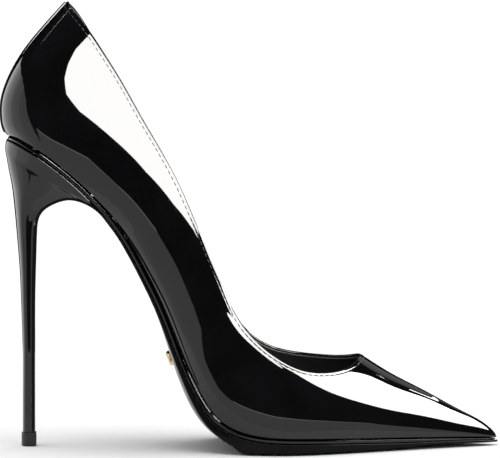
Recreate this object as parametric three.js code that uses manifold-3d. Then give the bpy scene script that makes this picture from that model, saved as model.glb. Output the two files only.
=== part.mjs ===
// Stiletto pump, right foot: pointed closed toe, low-cut sides, high counter and a 120 mm covered heel.
// Millimetres. +X runs to the toe, +Y to the inner (medial) side of the foot, +Z up; the floor is z = 0.
// Every leather layer is an offset of one last surface, and every bottom layer is an offset of the feather surface
// (the ruled surface inside the line where the upper turns under).
import * as THREE from "three";
import { mergeVertices } from "three/addons/utils/BufferGeometryUtils.js";
import Module from "manifold-3d";

const wasm = await Module();
wasm.setup();

// ---------------------------------------------------------------- driving dimensions
const X_BACK = 2.1, X_TOE = 192.3;      // ends of the feather line
const UPPER_T = 1.1;                    // upper leather
const GAP = 0.3;                        // between neighbouring layers
const STIFFENER_T = 0.9;                // heel counter and toe puff
const LINING_T = 0.8;                   // lining leather
const MARGIN = 8.5;                     // lasting margin turned under
const FILLER_T = 0.9;
const BOARD_D0 = 1.4, BOARD_T = 1.8;    // insole board, height above the feather surface
const PAD_T = 1.7, SOCK_T = 0.7;        // foam pads and sock
const RAND_T = 1.3, RAND_INSET = 0.6;   // rand strip between upper and sole
const SOLE_PROUD = 0.15;                // sole edge past the feather
const FLAP_T = 1.25;                    // sole leather down the heel breast
const COVER_T = 0.5;                    // leather over the heel
const TIP_H = 5.3;                      // top piece (heel tip) height
const DOWEL_R = 0.75, HOLE_R = 1.0;
const ROWS = [0, .06, .16, .33, .5, .67, .83, 1]; // heights from feather to topline, as fractions

// [x of the feather point, value]
const FEATHER_Z = [[2.1,121.0],[6.4,120.6],[11.6,118.2],[16.8,115.2],[24.1,109.8],[30.5,104.2],[36.1,98.6],[40.6,93.7],[45,88.3],[49.5,81.4],[54.2,72.8],[57.7,66.0],[61.2,59.0],[65.6,48.6],[69.2,39.0],[73.7,28.6],[77.7,20.7],[81.2,15.6],[85.6,11.7],[90.1,9.4],[96.1,7.7],[103.5,6.7],[115.9,6.2],[140.3,5.3],[166.3,4.2],[179.9,3.6],[192.3,3.0]];
const WIDTH_LATERAL = [[2.1,0],[6,12.2],[12,17.8],[20,21.3],[28,21.8],[36,20.6],[45,18.4],[55,17.6],[64,18.6],[72,21.8],[80,27.0],[88,32.2],[96,36.2],[105,38.4],[115,37.8],[125,34.6],[135,29.9],[145,24.7],[155,19.6],[165,14.7],[175,9.9],[183,6.1],[188,3.6],[192.3,0]];
const WIDTH_MEDIAL = [[2.1,0],[6,12.2],[12,17.6],[20,21.0],[28,21.2],[36,19.6],[45,16.8],[55,15.2],[64,15.8],[72,19.0],[80,24.5],[88,30.2],[96,34.6],[105,36.9],[115,36.2],[125,33.2],[135,29.0],[145,24.4],[155,19.6],[165,14.7],[175,9.9],[183,6.1],[188,3.6],[192.3,0]];
const WIDTH_BODY = [[2.1,0],[6,14.6],[12,21.4],[20,26.2],[28,28.2],[36,28.6],[45,28.2],[55,27.8],[64,28.4],[72,30.2],[80,33.2],[88,36.6],[96,39.2],[105,40.4],[115,39.4],[125,36.2],[135,31.4],[145,26.1],[155,20.8],[165,15.7],[175,10.7],[183,6.7],[188,4.0],[192.3,0]];
const SWELL = [[2.1,.16],[20,.16],[45,.12],[64,.12],[80,.12],[100,.14],[130,.16],[160,.2],[192.3,.2]];
const RIDGE_H = [[2.1,90],[12,88],[24,84],[36,76],[48,67.5],[60,62],[70,60],[80,59],[90,57],[100,52.8],[110,47.2],[120,41.2],[130,35.3],[139.2,30.2],[148.7,24.4],[159.9,19.0],[166.4,15.9],[173.1,12.4],[179.8,9.2],[185,6.8],[188,4.95],[190.5,2.9],[192.3,0]];
const RIDGE_Y = [[2.1,0],[40,1],[80,2.2],[110,3],[130,3],[150,2],[170,1],[192.3,0]];
const CENTRE_Y = [[2.1,0],[60,0],[100,0],[130,.4],[150,1.2],[170,1.9],[192.3,2.2]];
const LEAN = [[2.1,25],[20,25],[40,24.5],[55,22.5],[65,19.5],[75,14.5],[85,8.8],[95,4.4],[105,1.6],[118,.3],[130,0],[192.3,0]];
const BEND = [[2.1,1],[8,.93],[16,.72],[26,.42],[36,.18],[48,.03],[60,0],[100,0],[192.3,0]];
const BACK_CURVE = [[0,0],[2.33,2.5],[6.1,5.1],[9.5,6.7],[13,7.75],[17,8.35],[21,8.55],[25.4,8.4],[31.9,7.65],[39.2,6.1],[45.9,4.2],[57.55,.58],[70,-4.2],[90,-12]];
// topline: [p, |v|] from the centre back to the throat
const TOPLINE_LATERAL = [[0,.5584],[.1254,.5886],[.1656,.6032],[.1966,.6178],[.2562,.6377],[.3059,.6458],[.3328,.6319],[.36,.6055],[.3794,.5904],[.393,.5689],[.4063,.545],[.4405,.488],[.4693,.5026],[.496,.5323],[.5148,.5546],[.533,.5693],[.5501,.5809],[.5747,.5726],[.5993,.5236],[.6158,.4666],[.6289,.3878],[.6385,.2873],[.6445,.1409],[.6463,0]];
const TOPLINE_MEDIAL = [[0,.5584],[.1243,.5963],[.1643,.6202],[.1965,.6447],[.2568,.6743],[.3059,.687],[.3328,.6786],[.3593,.6613],[.3782,.6525],[.3919,.6355],[.4047,.6119],[.4362,.5679],[.4633,.5723],[.4905,.5993],[.5095,.6126],[.5288,.6097],[.5487,.5924],[.5747,.5488],[.5993,.4828],[.6158,.4179],[.6289,.3373],[.6385,.2363],[.6445,.0954],[.6463,0]];
const THROAT_P = .6463;

// ---------------------------------------------------------------- curves
class Spline { // cubic, each end natural or even (flat)
  constructor(t, y, e0 = "nat", e1 = "nat") {
    const n = t.length, a = new Array(n).fill(0), b = new Array(n).fill(1), c = new Array(n).fill(0), r = new Array(n).fill(0);
    for (let i = 1; i < n - 1; i++) {
      const h0 = t[i] - t[i - 1], h1 = t[i + 1] - t[i];
      a[i] = h0; b[i] = 2 * (h0 + h1); c[i] = h1;
      r[i] = 6 * ((y[i + 1] - y[i]) / h1 - (y[i] - y[i - 1]) / h0);
    }
    if (e0 === "even") { const h = t[1] - t[0]; b[0] = 2 * h; c[0] = h; r[0] = 6 * (y[1] - y[0]) / h; }
    if (e1 === "even") { const h = t[n - 1] - t[n - 2]; a[n - 1] = h; b[n - 1] = 2 * h; r[n - 1] = -6 * (y[n - 1] - y[n - 2]) / h; }
    for (let i = 1; i < n; i++) { const w = a[i] / b[i - 1]; b[i] -= w * c[i - 1]; r[i] -= w * r[i - 1]; }
    const m = new Array(n);
    m[n - 1] = r[n - 1] / b[n - 1];
    for (let i = n - 2; i >= 0; i--) m[i] = (r[i] - c[i] * m[i + 1]) / b[i];
    Object.assign(this, { t, y, m });
  }
  at(x) {
    const { t, y, m } = this;
    let i = 0;
    while (i < t.length - 2 && x > t[i + 1]) i++;
    const h = t[i + 1] - t[i], a = (t[i + 1] - x) / h, b = (x - t[i]) / h;
    return a * y[i] + b * y[i + 1] + ((a ** 3 - a) * m[i] + (b ** 3 - b) * m[i + 1]) * h * h / 6;
  }
}
const pOf = (x) => Math.acos(THREE.MathUtils.clamp(1 - 2 * (x - X_BACK) / (X_TOE - X_BACK), -1, 1)) / Math.PI;
const xOf = (p) => X_BACK + (X_TOE - X_BACK) * (1 - Math.cos(Math.PI * p)) / 2;
const tab = (rows, e0, e1) => new Spline(rows.map((r) => pOf(r[0])), rows.map((r) => r[1]), e0, e1);
const ZF = tab(FEATHER_Z, "even", "even"), WL = tab(WIDTH_LATERAL), WM = tab(WIDTH_MEDIAL), WB = tab(WIDTH_BODY);
const SW = tab(SWELL, "even", "even"), RH = tab(RIDGE_H, "even", "nat"), RY = tab(RIDGE_Y, "even", "even");
const CY = tab(CENTRE_Y, "even", "even"), LN = tab(LEAN, "even", "even"), BD = tab(BEND, "even", "even");
const BC = new Spline(BACK_CURVE.map((r) => r[0]), BACK_CURVE.map((r) => r[1]));
const smooth = (x) => { x = THREE.MathUtils.clamp(x, 0, 1); return x * x * (3 - 2 * x); };
const mix = (a, b, t) => a + (b - a) * t;
const side = (lat, p) => (lat ? WL : WM).at(p);

// last surface: v = -1 lateral feather, 0 ridge, +1 medial feather
function last(p, v) {
  const psi = (Math.PI / 2) * (1 - Math.abs(v)), eta = Math.sin(psi), lat = v < 0;
  const wf = side(lat, p), wide = wf + (WB.at(p) - wf) * (1 - Math.exp(-eta / SW.at(p)));
  const h = RH.at(p) * eta, d = LN.at(p) * Math.PI / 180, b = BD.at(p) * BC.at(h);
  return new THREE.Vector3(xOf(p) + Math.sin(d) * h - Math.cos(d) * b,
    CY.at(p) + (lat ? -1 : 1) * wide * Math.cos(psi) + RY.at(p) * eta * eta,
    ZF.at(p) + Math.cos(d) * h + Math.sin(d) * b);
}
function lastNormal(p, v) {
  const e = 1e-3;
  if (p < 1e-6) { // centre back: the normal lies in the profile plane
    const t = last(0, -(Math.abs(v) + e)).sub(last(0, -(Math.abs(v) - e)));
    return new THREE.Vector3(t.z, 0, -t.x).normalize().multiplyScalar(t.z > 0 ? -1 : 1).normalize();
  }
  if (p > 1 - 1e-6) return new THREE.Vector3(1, 0, 0);
  if (Math.abs(v) < 1e-6) v = -1e-6;
  const a = last(Math.min(p + e, 1), v).sub(last(p - e, v)), s = v < 0 ? -1 : 1;
  const b = last(p, s * Math.min(Math.abs(v) + e, 1)).sub(last(p, s * Math.max(Math.abs(v) - e, 1e-9)));
  const n = new THREE.Vector3().crossVectors(a, b).normalize();
  return s < 0 ? n.negate() : n;
}
const shell = (p, v, d) => last(p, v).addScaledVector(lastNormal(p, v), -d);
// bottom: point at y on the feather surface of station p, raised by d along its normal
function bottomNormal(p) {
  const e = 2e-3, a = Math.max(p - e, 0), b = Math.min(p + e, 1);
  const dx = xOf(b) - xOf(a), dz = ZF.at(b) - ZF.at(a), l = Math.hypot(dx, dz);
  return [-dz / l, dx / l];
}
const bottomAt = (p, d) => { const [nx, nz] = bottomNormal(Math.min(Math.max(p, .004), .996)); return [xOf(p) + nx * d, ZF.at(p) + nz * d]; };
const stops = []; // stations of the shared columns; the surface is straight between them, so that neighbouring layers nest
function bottom(p, y, d) {
  let i = 0;
  while (i < stops.length - 2 && p > stops[i + 1]) i++;
  const a = bottomAt(stops[i], d), b = bottomAt(stops[i + 1], d), xa = xOf(stops[i]), xb = xOf(stops[i + 1]), t = (xOf(p) - xa) / (xb - xa);
  return new THREE.Vector3(mix(a[0], b[0], t), y, mix(a[1], b[1], t));
}
// |v| of the wall at height d above the feather surface
function wallV(p, d) {
  const [nx, nz] = bottomNormal(Math.min(Math.max(p, .004), .996)), a = LN.at(p) * Math.PI / 180;
  const h = d / Math.max(.3, nx * Math.sin(a) + nz * Math.cos(a));
  return 1 - (2 / Math.PI) * Math.asin(Math.min(.95, h / Math.max(RH.at(p), .1)));
}

// ---------------------------------------------------------------- mesh helpers
class Soup {
  constructor() { this.v = []; }
  tri(a, b, c) {
    if (a.distanceTo(b) < 2e-3 || b.distanceTo(c) < 2e-3 || c.distanceTo(a) < 2e-3) return;
    this.v.push(a.x, a.y, a.z, b.x, b.y, b.z, c.x, c.y, c.z);
  }
  quad(a, b, c, d) { this.tri(a, b, c); this.tri(a, c, d); }
  geometry() {
    const g = new THREE.BufferGeometry().setAttribute("position", new THREE.Float32BufferAttribute(this.v, 3));
    return outward(mergeVertices(g, 1e-3));
  }
}
function volumeOf(g) {
  const p = g.attributes.position, ix = g.index.array, a = new THREE.Vector3(), b = a.clone(), c = a.clone();
  let s = 0;
  for (let i = 0; i < ix.length; i += 3) {
    a.fromBufferAttribute(p, ix[i]); b.fromBufferAttribute(p, ix[i + 1]); c.fromBufferAttribute(p, ix[i + 2]);
    s += a.dot(b.cross(c));
  }
  return s / 6;
}
function outward(g) {
  if (volumeOf(g) < 0) { const ix = g.index.array; for (let i = 0; i < ix.length; i += 3) [ix[i + 1], ix[i + 2]] = [ix[i + 2], ix[i + 1]]; }
  return g;
}
// loops[k] is a closed ring of points; consecutive rings are joined; the ends are fanned, or laddered across a thin ring
function loft(loops, closed = false, ladder = false) {
  const s = new Soup(), n = loops[0].length, K = loops.length;
  for (let k = 0; k < (closed ? K : K - 1); k++) {
    const A = loops[k], B = loops[(k + 1) % K];
    for (let i = 0; i < n; i++) s.quad(A[i], A[(i + 1) % n], B[(i + 1) % n], B[i]);
  }
  if (!closed) {
    const cap = (L, flip) => {
      if (ladder) { for (let i = 0; i < n / 2 - 1; i++) flip ? s.quad(L[i + 1], L[i], L[n - 1 - i], L[n - 2 - i]) : s.quad(L[i], L[i + 1], L[n - 2 - i], L[n - 1 - i]); return; }
      const c = L.reduce((q, w) => q.add(w), new THREE.Vector3()).divideScalar(n);
      for (let i = 0; i < n; i++) flip ? s.tri(c, L[(i + 1) % n], L[i]) : s.tri(c, L[i], L[(i + 1) % n]);
    };
    cap(loops[0], true); cap(loops[K - 1], false);
  }
  return s.geometry();
}
function solid(g) {
  const q = g.clone();
  for (const n of Object.keys(q.attributes)) if (n !== "position") q.deleteAttribute(n);
  const m = mergeVertices(q, 1e-4);
  return new wasm.Manifold(new wasm.Mesh({ numProp: 3, vertProperties: new Float32Array(m.attributes.position.array), triVerts: new Uint32Array(m.index.array) }));
}
function toGeometry(m) {
  const r = m.getMesh(), g = new THREE.BufferGeometry();
  const n = r.numProp, pos = new Float32Array(r.vertProperties.length / n * 3);
  for (let i = 0; i < pos.length / 3; i++) for (let k = 0; k < 3; k++) pos[3 * i + k] = r.vertProperties[n * i + k];
  g.setAttribute("position", new THREE.BufferAttribute(pos, 3));
  g.setIndex([...r.triVerts]);
  return g;
}
const cut = (g, ...tools) => toGeometry(tools.reduce((s, t) => s.subtract(solid(t)), solid(g)));
// a turned piece: profile [[r, t], ...] along the line from a towards b
function turned(profile, a, b, segments = 12) {
  const g = new THREE.LatheGeometry(profile.map(([r, t]) => new THREE.Vector2(r, t)), segments);
  g.deleteAttribute("uv"); g.deleteAttribute("normal");
  const m = mergeVertices(g, 1e-4), ax = b.clone().sub(a).normalize();
  m.applyQuaternion(new THREE.Quaternion().setFromUnitVectors(new THREE.Vector3(0, 1, 0), ax));
  m.translate(a.x, a.y, a.z);
  const s = new Soup(), q = m.attributes.position, ix = m.index.array, v = (i) => new THREE.Vector3().fromBufferAttribute(q, i);
  for (let i = 0; i < ix.length; i += 3) s.tri(v(ix[i]), v(ix[i + 1]), v(ix[i + 2]));
  return s.geometry();
}
const rod = (r, a, b, n = 12) => turned([[0, 0], [r, 0], [r, a.distanceTo(b)], [0, a.distanceTo(b)]], a, b, n);

// ---------------------------------------------------------------- master columns
const column = (pT, vl, vm) => {
  const k = pT <= THROAT_P ? smooth((pT - .5) / (THROAT_P - .5)) : 1 - smooth((pT - THROAT_P) / .2);
  return { pT, pF: pT + .045 * k, vl, vm };
};
const arc = (T) => { const s = [0]; for (let i = 1; i < T.length; i++) { const a = last(T[i - 1][0], -T[i - 1][1]), b = last(T[i][0], -T[i][1]); s.push(s[i - 1] + a.distanceTo(b)); } return s.map((q) => q / s[s.length - 1]); };
const sL = arc(TOPLINE_LATERAL);
const TP = new Spline(sL, TOPLINE_LATERAL.map((r) => r[0]), "nat", "even");
const TVL = new Spline(sL, TOPLINE_LATERAL.map((r) => r[1]));
const vmAt = new Spline(TOPLINE_MEDIAL.map((r) => r[0]), TOPLINE_MEDIAL.map((r) => r[1]));
const TVM = new Spline(sL, sL.map((s, i) => i === sL.length - 1 ? 0 : vmAt.at(TOPLINE_LATERAL[i][0])));
const cols = [];
const NT = 24, NR = 11;
for (let i = 0; i <= NT; i++) { const u = i / NT, s = i < 6 ? mix(0, sL[1] * 1.3, i / 6) : mix(sL[1] * 1.3, 1, (i - 6) / (NT - 6)); cols.push(i === NT ? column(THROAT_P, 0, 0) : column(Math.max(0, TP.at(s)), TVL.at(s), TVM.at(s))); }
cols[0] = column(0, TOPLINE_LATERAL[0][1], TOPLINE_LATERAL[0][1]);
for (let i = 1; i <= NR; i++) cols.push(column(mix(THROAT_P, 1, i / NR), 0, 0));
const NC = cols.length - 1;
stops.push(...cols.map((c) => c.pF));
// (p, v) of row t = 0 (at height d above the feather surface) to 1 (topline or ridge)
function knot(c, lat, t, d = 0) {
  const vt = lat ? c.vl : c.vm, v0 = c.pF > .9999 ? 1 : wallV(c.pF, d), k = t;
  return [mix(c.pF, c.pT, k), (lat ? -1 : 1) * mix(Math.min(1, v0), vt, k)];
}
function wall(c, lat, t, d, d0 = 0) {
  const [p, v] = knot(c, lat, t, d0);
  if (p < 1e-6) return shell(0, -Math.abs(v), d);
  return shell(p, v, d);
}
const innerEdge = (c, m) => Math.max(side(true, c.pF) - m, 0), feather = (c, lat) => side(lat, c.pF);
const plan = (c, lat, inset) => CY.at(c.pF) + (lat ? -1 : 1) * Math.max(feather(c, lat) - inset, 0);

// ---------------------------------------------------------------- layers of the upper
// A wall layer over columns C and heights T, between two depths. Both sides are joined at the centre back and the ridge.
function layer(C, T, d1, d2, d0 = UPPER_T) {
  const s = new Soup(), n = T.length - 1, last = C.length - 1;
  const depth = (f, c, t) => (typeof f === "function" ? f(c, t) : f);
  for (const lat of [true, false]) {
    const P = (i, t, f) => wall(C[i], lat, t, depth(f, C[i], t), d0);
    const q = (a, b, c, d) => (lat ? s.quad(a, b, c, d) : s.quad(d, c, b, a));
    for (let i = 0; i < last; i++) {
      for (let j = 0; j < n; j++) {
        q(P(i, T[j], d1), P(i + 1, T[j], d1), P(i + 1, T[j + 1], d1), P(i, T[j + 1], d1));
        q(P(i, T[j], d2), P(i, T[j + 1], d2), P(i + 1, T[j + 1], d2), P(i + 1, T[j], d2));
      }
      q(P(i, T[0], d2), P(i + 1, T[0], d2), P(i + 1, T[0], d1), P(i, T[0], d1));
      const onRidge = T[n] > .999 && C[i].pT > THROAT_P - 1e-5;
      if (!onRidge) q(P(i, T[n], d1), P(i + 1, T[n], d1), P(i + 1, T[n], d2), P(i, T[n], d2));
    }
    if (C[0].pT > 1e-6) for (let j = 0; j < n; j++) q(P(0, T[j], d1), P(0, T[j + 1], d1), P(0, T[j + 1], d2), P(0, T[j], d2));
    for (let j = 0; j < n; j++) q(P(last, T[j], d2), P(last, T[j + 1], d2), P(last, T[j + 1], d1), P(last, T[j], d1));
  }
  return s.geometry();
}
const iToe = NC - 4;                                  // the hollow ends here; the tip in front is solid
const stiff = (c, t) => {                             // where the counter or the puff lies behind the lining
  const a = 1 - smooth((c.pT - .36) / .06), b = smooth((c.pT - .70) / .05);
  return Math.max(a, b) * (1 - smooth((t - .8) / .15) * (c.pT < THROAT_P ? 1 : 0));
};
// inner edge of a strip of width m that follows the feather, at height d
function inner(i, lat, m, d) {
  const w = (c) => Math.min(m, feather(c, true) * .6, feather(c, false) * .6);
  if (i < 6) {
    const k = i / 6, pp = mix(pOf(X_BACK + m), cols[6].pF, k * k * (2 - k));
    return bottom(pp, (lat ? -1 : 1) * Math.sin(k * Math.PI / 2) * (feather(cols[6], lat) - w(cols[6])), d);
  }
  return bottom(cols[i].pF, plan(cols[i], lat, w(cols[i])), d);
}
// upper: outer wall, lasting margin under the foot, inner wall; solid at the tip
function upperGeometry() {
  const s = new Soup(), T = ROWS, NRW = ROWS.length - 1;
  for (const lat of [true, false]) {
    const q = (a, b, c, d) => (lat ? s.quad(a, b, c, d) : s.quad(d, c, b, a));
    const tr = (a, b, c) => (lat ? s.tri(a, b, c) : s.tri(c, b, a));
    const O = (i, j) => wall(cols[i], lat, T[j], 0);
    const corner = (i) => bottom(i === 0 ? pOf(X_BACK + UPPER_T) : cols[i].pF, i === 0 ? 0 : plan(cols[i], lat, UPPER_T), UPPER_T);
    const I = (i, j) => (j === 0 ? corner(i) : wall(cols[i], lat, T[j], UPPER_T, UPPER_T));
    const E = (i, d) => inner(i, lat, MARGIN, d);
    for (let i = 0; i < NC; i++) for (let j = 0; j < NRW; j++) q(O(i, j), O(i + 1, j), O(i + 1, j + 1), O(i, j + 1));
    for (let i = 0; i < iToe; i++) {
      for (let j = 0; j < NRW; j++) q(I(i, j), I(i, j + 1), I(i + 1, j + 1), I(i + 1, j));
      if (i < NT) q(O(i, NRW), O(i + 1, NRW), I(i + 1, NRW), I(i, NRW));
      q(E(i, 0), E(i + 1, 0), O(i + 1, 0), O(i, 0));
      q(I(i, 0), I(i + 1, 0), E(i + 1, UPPER_T), E(i, UPPER_T));
      q(E(i, UPPER_T), E(i + 1, UPPER_T), E(i + 1, 0), E(i, 0));
    }
    const p = cols[iToe].pF, c0 = bottom(p, CY.at(p), 0), c1 = bottom(p, CY.at(p), UPPER_T);
    const ring = [c1, E(iToe, UPPER_T), ...T.map((_, j) => I(iToe, j))];
    for (let k = 1; k < ring.length - 1; k++) tr(ring[0], ring[k], ring[k + 1]);
    q(c0, E(iToe, 0), E(iToe, UPPER_T), c1);
    tr(c0, O(iToe, 0), E(iToe, 0));
    for (let i = iToe; i < NC; i++) tr(c0, O(i + 1, 0), O(i, 0));
  }
  return s.geometry();
}

// ---------------------------------------------------------------- bottom layers
// a plate between heights d1 and d2, over stations p, inset from the feather; heights may vary along p
function plate(ps, inset, d1, d2, n = 2, limit = 1e9) {
  const f = (g, p) => (typeof g === "function" ? g(p) : g);
  return loft(ps.map((p) => {
    const a = Math.min(Math.max(side(true, p) - f(inset, p), .4), limit), b = Math.min(Math.max(side(false, p) - f(inset, p), .4), limit);
    const yl = CY.at(p) - a, yr = CY.at(p) + b, L = [];
    for (let k = 0; k <= n; k++) L.push(bottom(p, mix(yl, yr, k / n), f(d1, p)));
    for (let k = n; k >= 0; k--) L.push(bottom(p, mix(yl, yr, k / n), f(d2, p)));
    return L;
  }), false, true);
}
const stations = (xa, xb) => { const a = pOf(xa), b = pOf(xb); return [a, ...cols.map((c) => c.pF).filter((p) => p > a + .002 && p < b - .002), b]; };
const padMask = (p) => { const x = xOf(p); return Math.max(1 - smooth((x - 40) / 10), smooth((x - 72) / 8) * (1 - smooth((x - 154) / 10))); };
const randT = (p) => mix(RAND_T, .5, smooth((xOf(p) - 150) / 38));
const soleTop = (p) => -(GAP + randT(p) + GAP);
// rand: a closed strip round the whole feather
function randGeometry() {
  const ring = [], W = 5.5;
  const section = (i, lat) => {
    const c = cols[i], d1 = -GAP - .35 * (1 - smooth((xOf(c.pF) - 4) / 10)), d2 = -GAP - randT(c.pF), last = i > NC - 3, k = last ? (i - NC + 3) / 3 : 0;
    const yo = plan(c, lat, RAND_INSET), o = (d) => (i === 0 ? bottom(pOf(X_BACK + RAND_INSET), 0, d) : i === NC ? bottom(pOf(X_TOE - .5), CY.at(1), d) : bottom(c.pF, yo, d));
    const c3 = cols[NC - 3], y3 = plan(c3, lat, Math.min(W, feather(c3, true) * .6));
    const e = (d) => (last ? bottom(mix(c3.pF, pOf(188.3), Math.sin(k * Math.PI / 2)), mix(CY.at(c3.pF), y3, Math.cos(k * Math.PI / 2)), d) : inner(i, lat, W, d));
    return [o(d1), e(d1), e(d2), o(d2)];
  };
  for (let i = 0; i <= NC; i++) ring.push(section(i, true));
  for (let i = NC - 1; i > 0; i--) ring.push(section(i, false));
  return loft(ring, true);
}

// ---------------------------------------------------------------- sole
// breast line of the heel, outer face of the sole leather, from the waist to the top piece: [x, z, half width]
const BREAST = [[38.4,91.7,18.3],[33.9,95,17.8],[30.5,96.4,17.0],[26.4,97,16.0],[22.8,96.2,14.9],[19.5,94.7,13.7],[17.0,92.9,12.5],[15.3,90.6,11.3],[14.3,87.4,10.0],[13.8,81.5,8.5],[13.45,70,6.6],[13.15,57,5.3],[13.13,40,4.3],[13.12,24,3.7],[13.1,5.6,3.3]];
const breastNormal = (k) => { // towards the heel
  const a = BREAST[Math.max(k - 1, 0)], b = BREAST[Math.min(k + 1, BREAST.length - 1)], dx = b[0] - a[0], dz = b[1] - a[1], l = Math.hypot(dx, dz);
  return [dz / l, -dx / l];
};
const breast = (k, d) => { const n = k === BREAST.length - 1 ? [-1, 0] : breastNormal(k); return [BREAST[k][0] + n[0] * d, BREAST[k][1] + n[1] * d]; };
const lin = (T, x) => { let i = 0; while (i < T.length - 2 && x > T[i + 1][0]) i++; return mix(T[i][1], T[i + 1][1], THREE.MathUtils.clamp((x - T[i][0]) / (T[i + 1][0] - T[i][0]), 0, 1)); };
const SOLE_EDGE = [[36,2.9],[54,2.9],[65.6,3.1],[69.2,3.3],[73.7,3.6],[77.7,4.0],[81.2,4.4],[85.6,4.9],[90.1,5.6],[93,6.2],[95,6.6]];
const SOLE_MID = [[36,3.0],[45,3.0],[54,3.0],[61.2,3.1],[65.6,3.6],[69.2,4.3],[73.7,5.2],[77.7,5.8],[81.2,6.0],[85.6,6.1],[90.1,6.4],[93,7.0],[95,7.5]];
const TOE_SPRING = [[96,0],[150,0],[158,.35],[168,.95],[180,1.2],[192.3,1.3]];
const FR = [-1, -.75, -.35, .35, .75, 1];
function soleSection(p, x = xOf(p)) {
  const grow = mix(.5, -SOLE_PROUD, smooth((x - 60) / 25)), yl = CY.at(p) - Math.max(side(true, p) - grow, .35), yr = CY.at(p) + Math.max(side(false, p) - grow, .35);
  const at = (f) => CY.at(p) + (f < 0 ? -f * (yl - CY.at(p)) : f * (yr - CY.at(p))), top = soleTop(p), L = FR.map((f) => bottom(p, at(f), top));
  const nz = bottomNormal(p)[1];
  for (const f of [...FR].reverse()) {
    let D;
    const a = Math.abs(f);
    if (x < 95) D = a > .9 ? lin(SOLE_EDGE, x) : a > .5 ? mix(lin(SOLE_EDGE, x), lin(SOLE_MID, x), .75) : lin(SOLE_MID, x);
    else { const z = lin(TOE_SPRING, x) + (a > .9 ? mix(.8, .0, smooth((x - 168) / 20)) : 0); D = (ZF.at(p) - z) / nz; }
    const q = bottom(p, at(f), -D);
    if (x >= 95 && a < .9 && x <= 150) q.z = 0;
    L.push(q);
  }
  return L;
}
function outsoleGeometry() {
  const ps = stations(43, 191.6).reverse(), loops = [];
  const tip = soleSection(ps[0]);
  const n = FR.length;
  loops.push(tip.map((v, i) => { const top = i < n, f = top ? FR[i] : FR[2 * n - 1 - i]; return new THREE.Vector3(192.75 - .25 * Math.abs(f), CY.at(1) + .45 * f, top ? 2.0 : 1.3); }));
  for (const p of ps) loops.push(soleSection(p));
  for (let k = 0; k < BREAST.length; k++) {
    const [xo, zo, w] = BREAST[k], [xi, zi] = breast(k, FLAP_T);
    loops.push([...FR.map((f) => new THREE.Vector3(xi, w * f, zi)), ...[...FR].reverse().map((f) => new THREE.Vector3(xo, w * f, zo))]);
  }
  return loft(loops, false, true);
}

// ---------------------------------------------------------------- heel
const BACK_EDGE = [[118.9,1.3],[116.2,1.55],[113.2,1.95],[110,2.5],[106.5,3.15],[102.7,3.9],[98.5,4.5],[94,5.0],[88.5,5.5],[80.5,6.2],[69,7.1],[56,7.65],[40,8.15],[24,8.2],[5.6,8.2]];
const HEEL_W = [20.6,19.9,19.0,18.0,16.9,15.7,14.4,13.1,11.7,10.0,7.9,6.1,4.8,4.1,3.7];
const U = [0, .035, .11, .24, .44, .7, 1];
const girth = (u) => (u < .44 ? Math.sqrt(1 - (1 - u / .44) ** 2) : mix(1, .9, smooth((u - .44) / .56)));
// station k of the heel, inset by d all round except at the breast
function heelSection(k, d) {
  const side1 = (lat) => U.map((u, j) => {
    if (k === 0) { const p = pOf(mix(2.45 + d, 35.6, u)); return bottom(p, (lat ? -1 : 1) * (j === 0 ? 0 : Math.max(side(lat, p) - .7 - d, .2)), soleTop(p) - (u > .9 ? .05 : 0)); }
    const [xc, zc] = breast(k, FLAP_T + GAP), [zb, xb] = BACK_EDGE[k], l = Math.hypot(xc - xb, zc - zb), uu = mix(d / l, 1, u);
    return new THREE.Vector3(mix(xb, xc, uu), (lat ? -1 : 1) * (j === 0 ? 0 : girth(u) * (HEEL_W[k] - d)), mix(zb, zc, uu));
  });
  return [side1(true), side1(false)];
}
function heelCore() {
  const d = COVER_T + .25;
  return loft(HEEL_W.map((_, k) => { const [a, b] = heelSection(k, d); return [...a, ...b.slice(1).reverse()]; }));
}
function heelCover() {
  return loft(HEEL_W.map((_, k) => {
    const [a, b] = heelSection(k, 0), [c, e] = heelSection(k, COVER_T);
    return [...a.slice().reverse(), ...b.slice(1), ...e.slice(1).reverse(), ...c];
  }), false, true);
}
function topPiece() {
  const loop = (z, d) => { const f = (lat) => U.map((u, j) => new THREE.Vector3(mix(7.8 + d, 13.55 - d, u), (lat ? -1 : 1) * (j === 0 ? 0 : girth(u) * (3.9 - d)), z)); return [...f(true), ...f(false).slice(1).reverse()]; };
  return loft([loop(0, .25), loop(.4, 0), loop(TIP_H - .2, 0), loop(TIP_H, .15)]);
}

// ---------------------------------------------------------------- assembly
const M = (color, roughness, metalness = 0) => new THREE.MeshStandardMaterial({ color, roughness, metalness });
const patent = M(0x0a0a0b, .06), lining = M(0x161514, .6), board = M(0x6d5436, .9), steel = M(0x9a9ca0, .35, 1), foam = M(0x3a3836, .95);
const sole = M(0x111010, .3), plastic = M(0x1c1c1e, .5), rubber = M(0x0c0c0c, .6), brass = M(0xb08a4a, .25, 1), thread = M(0x0d0d0d, .8), felt = M(0x4a453e, .95);
const shoe = new THREE.Group(), frame = new THREE.Group(), upperGroup = new THREE.Group(), bottomGroup = new THREE.Group(), heelGroup = new THREE.Group();
shoe.add(frame);
frame.add(upperGroup, bottomGroup, heelGroup);
function add(name, geometry, material, parent) {
  const m = new THREE.Mesh(geometry, material);
  m.name = name;
  parent.add(m);
}
const V = (x, y, z) => new THREE.Vector3(x, y, z);
// point and direction on the feather surface normal, for fasteners driven through the seat
const seat = (x, y, d) => bottom(pOf(x), y, d);

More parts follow.
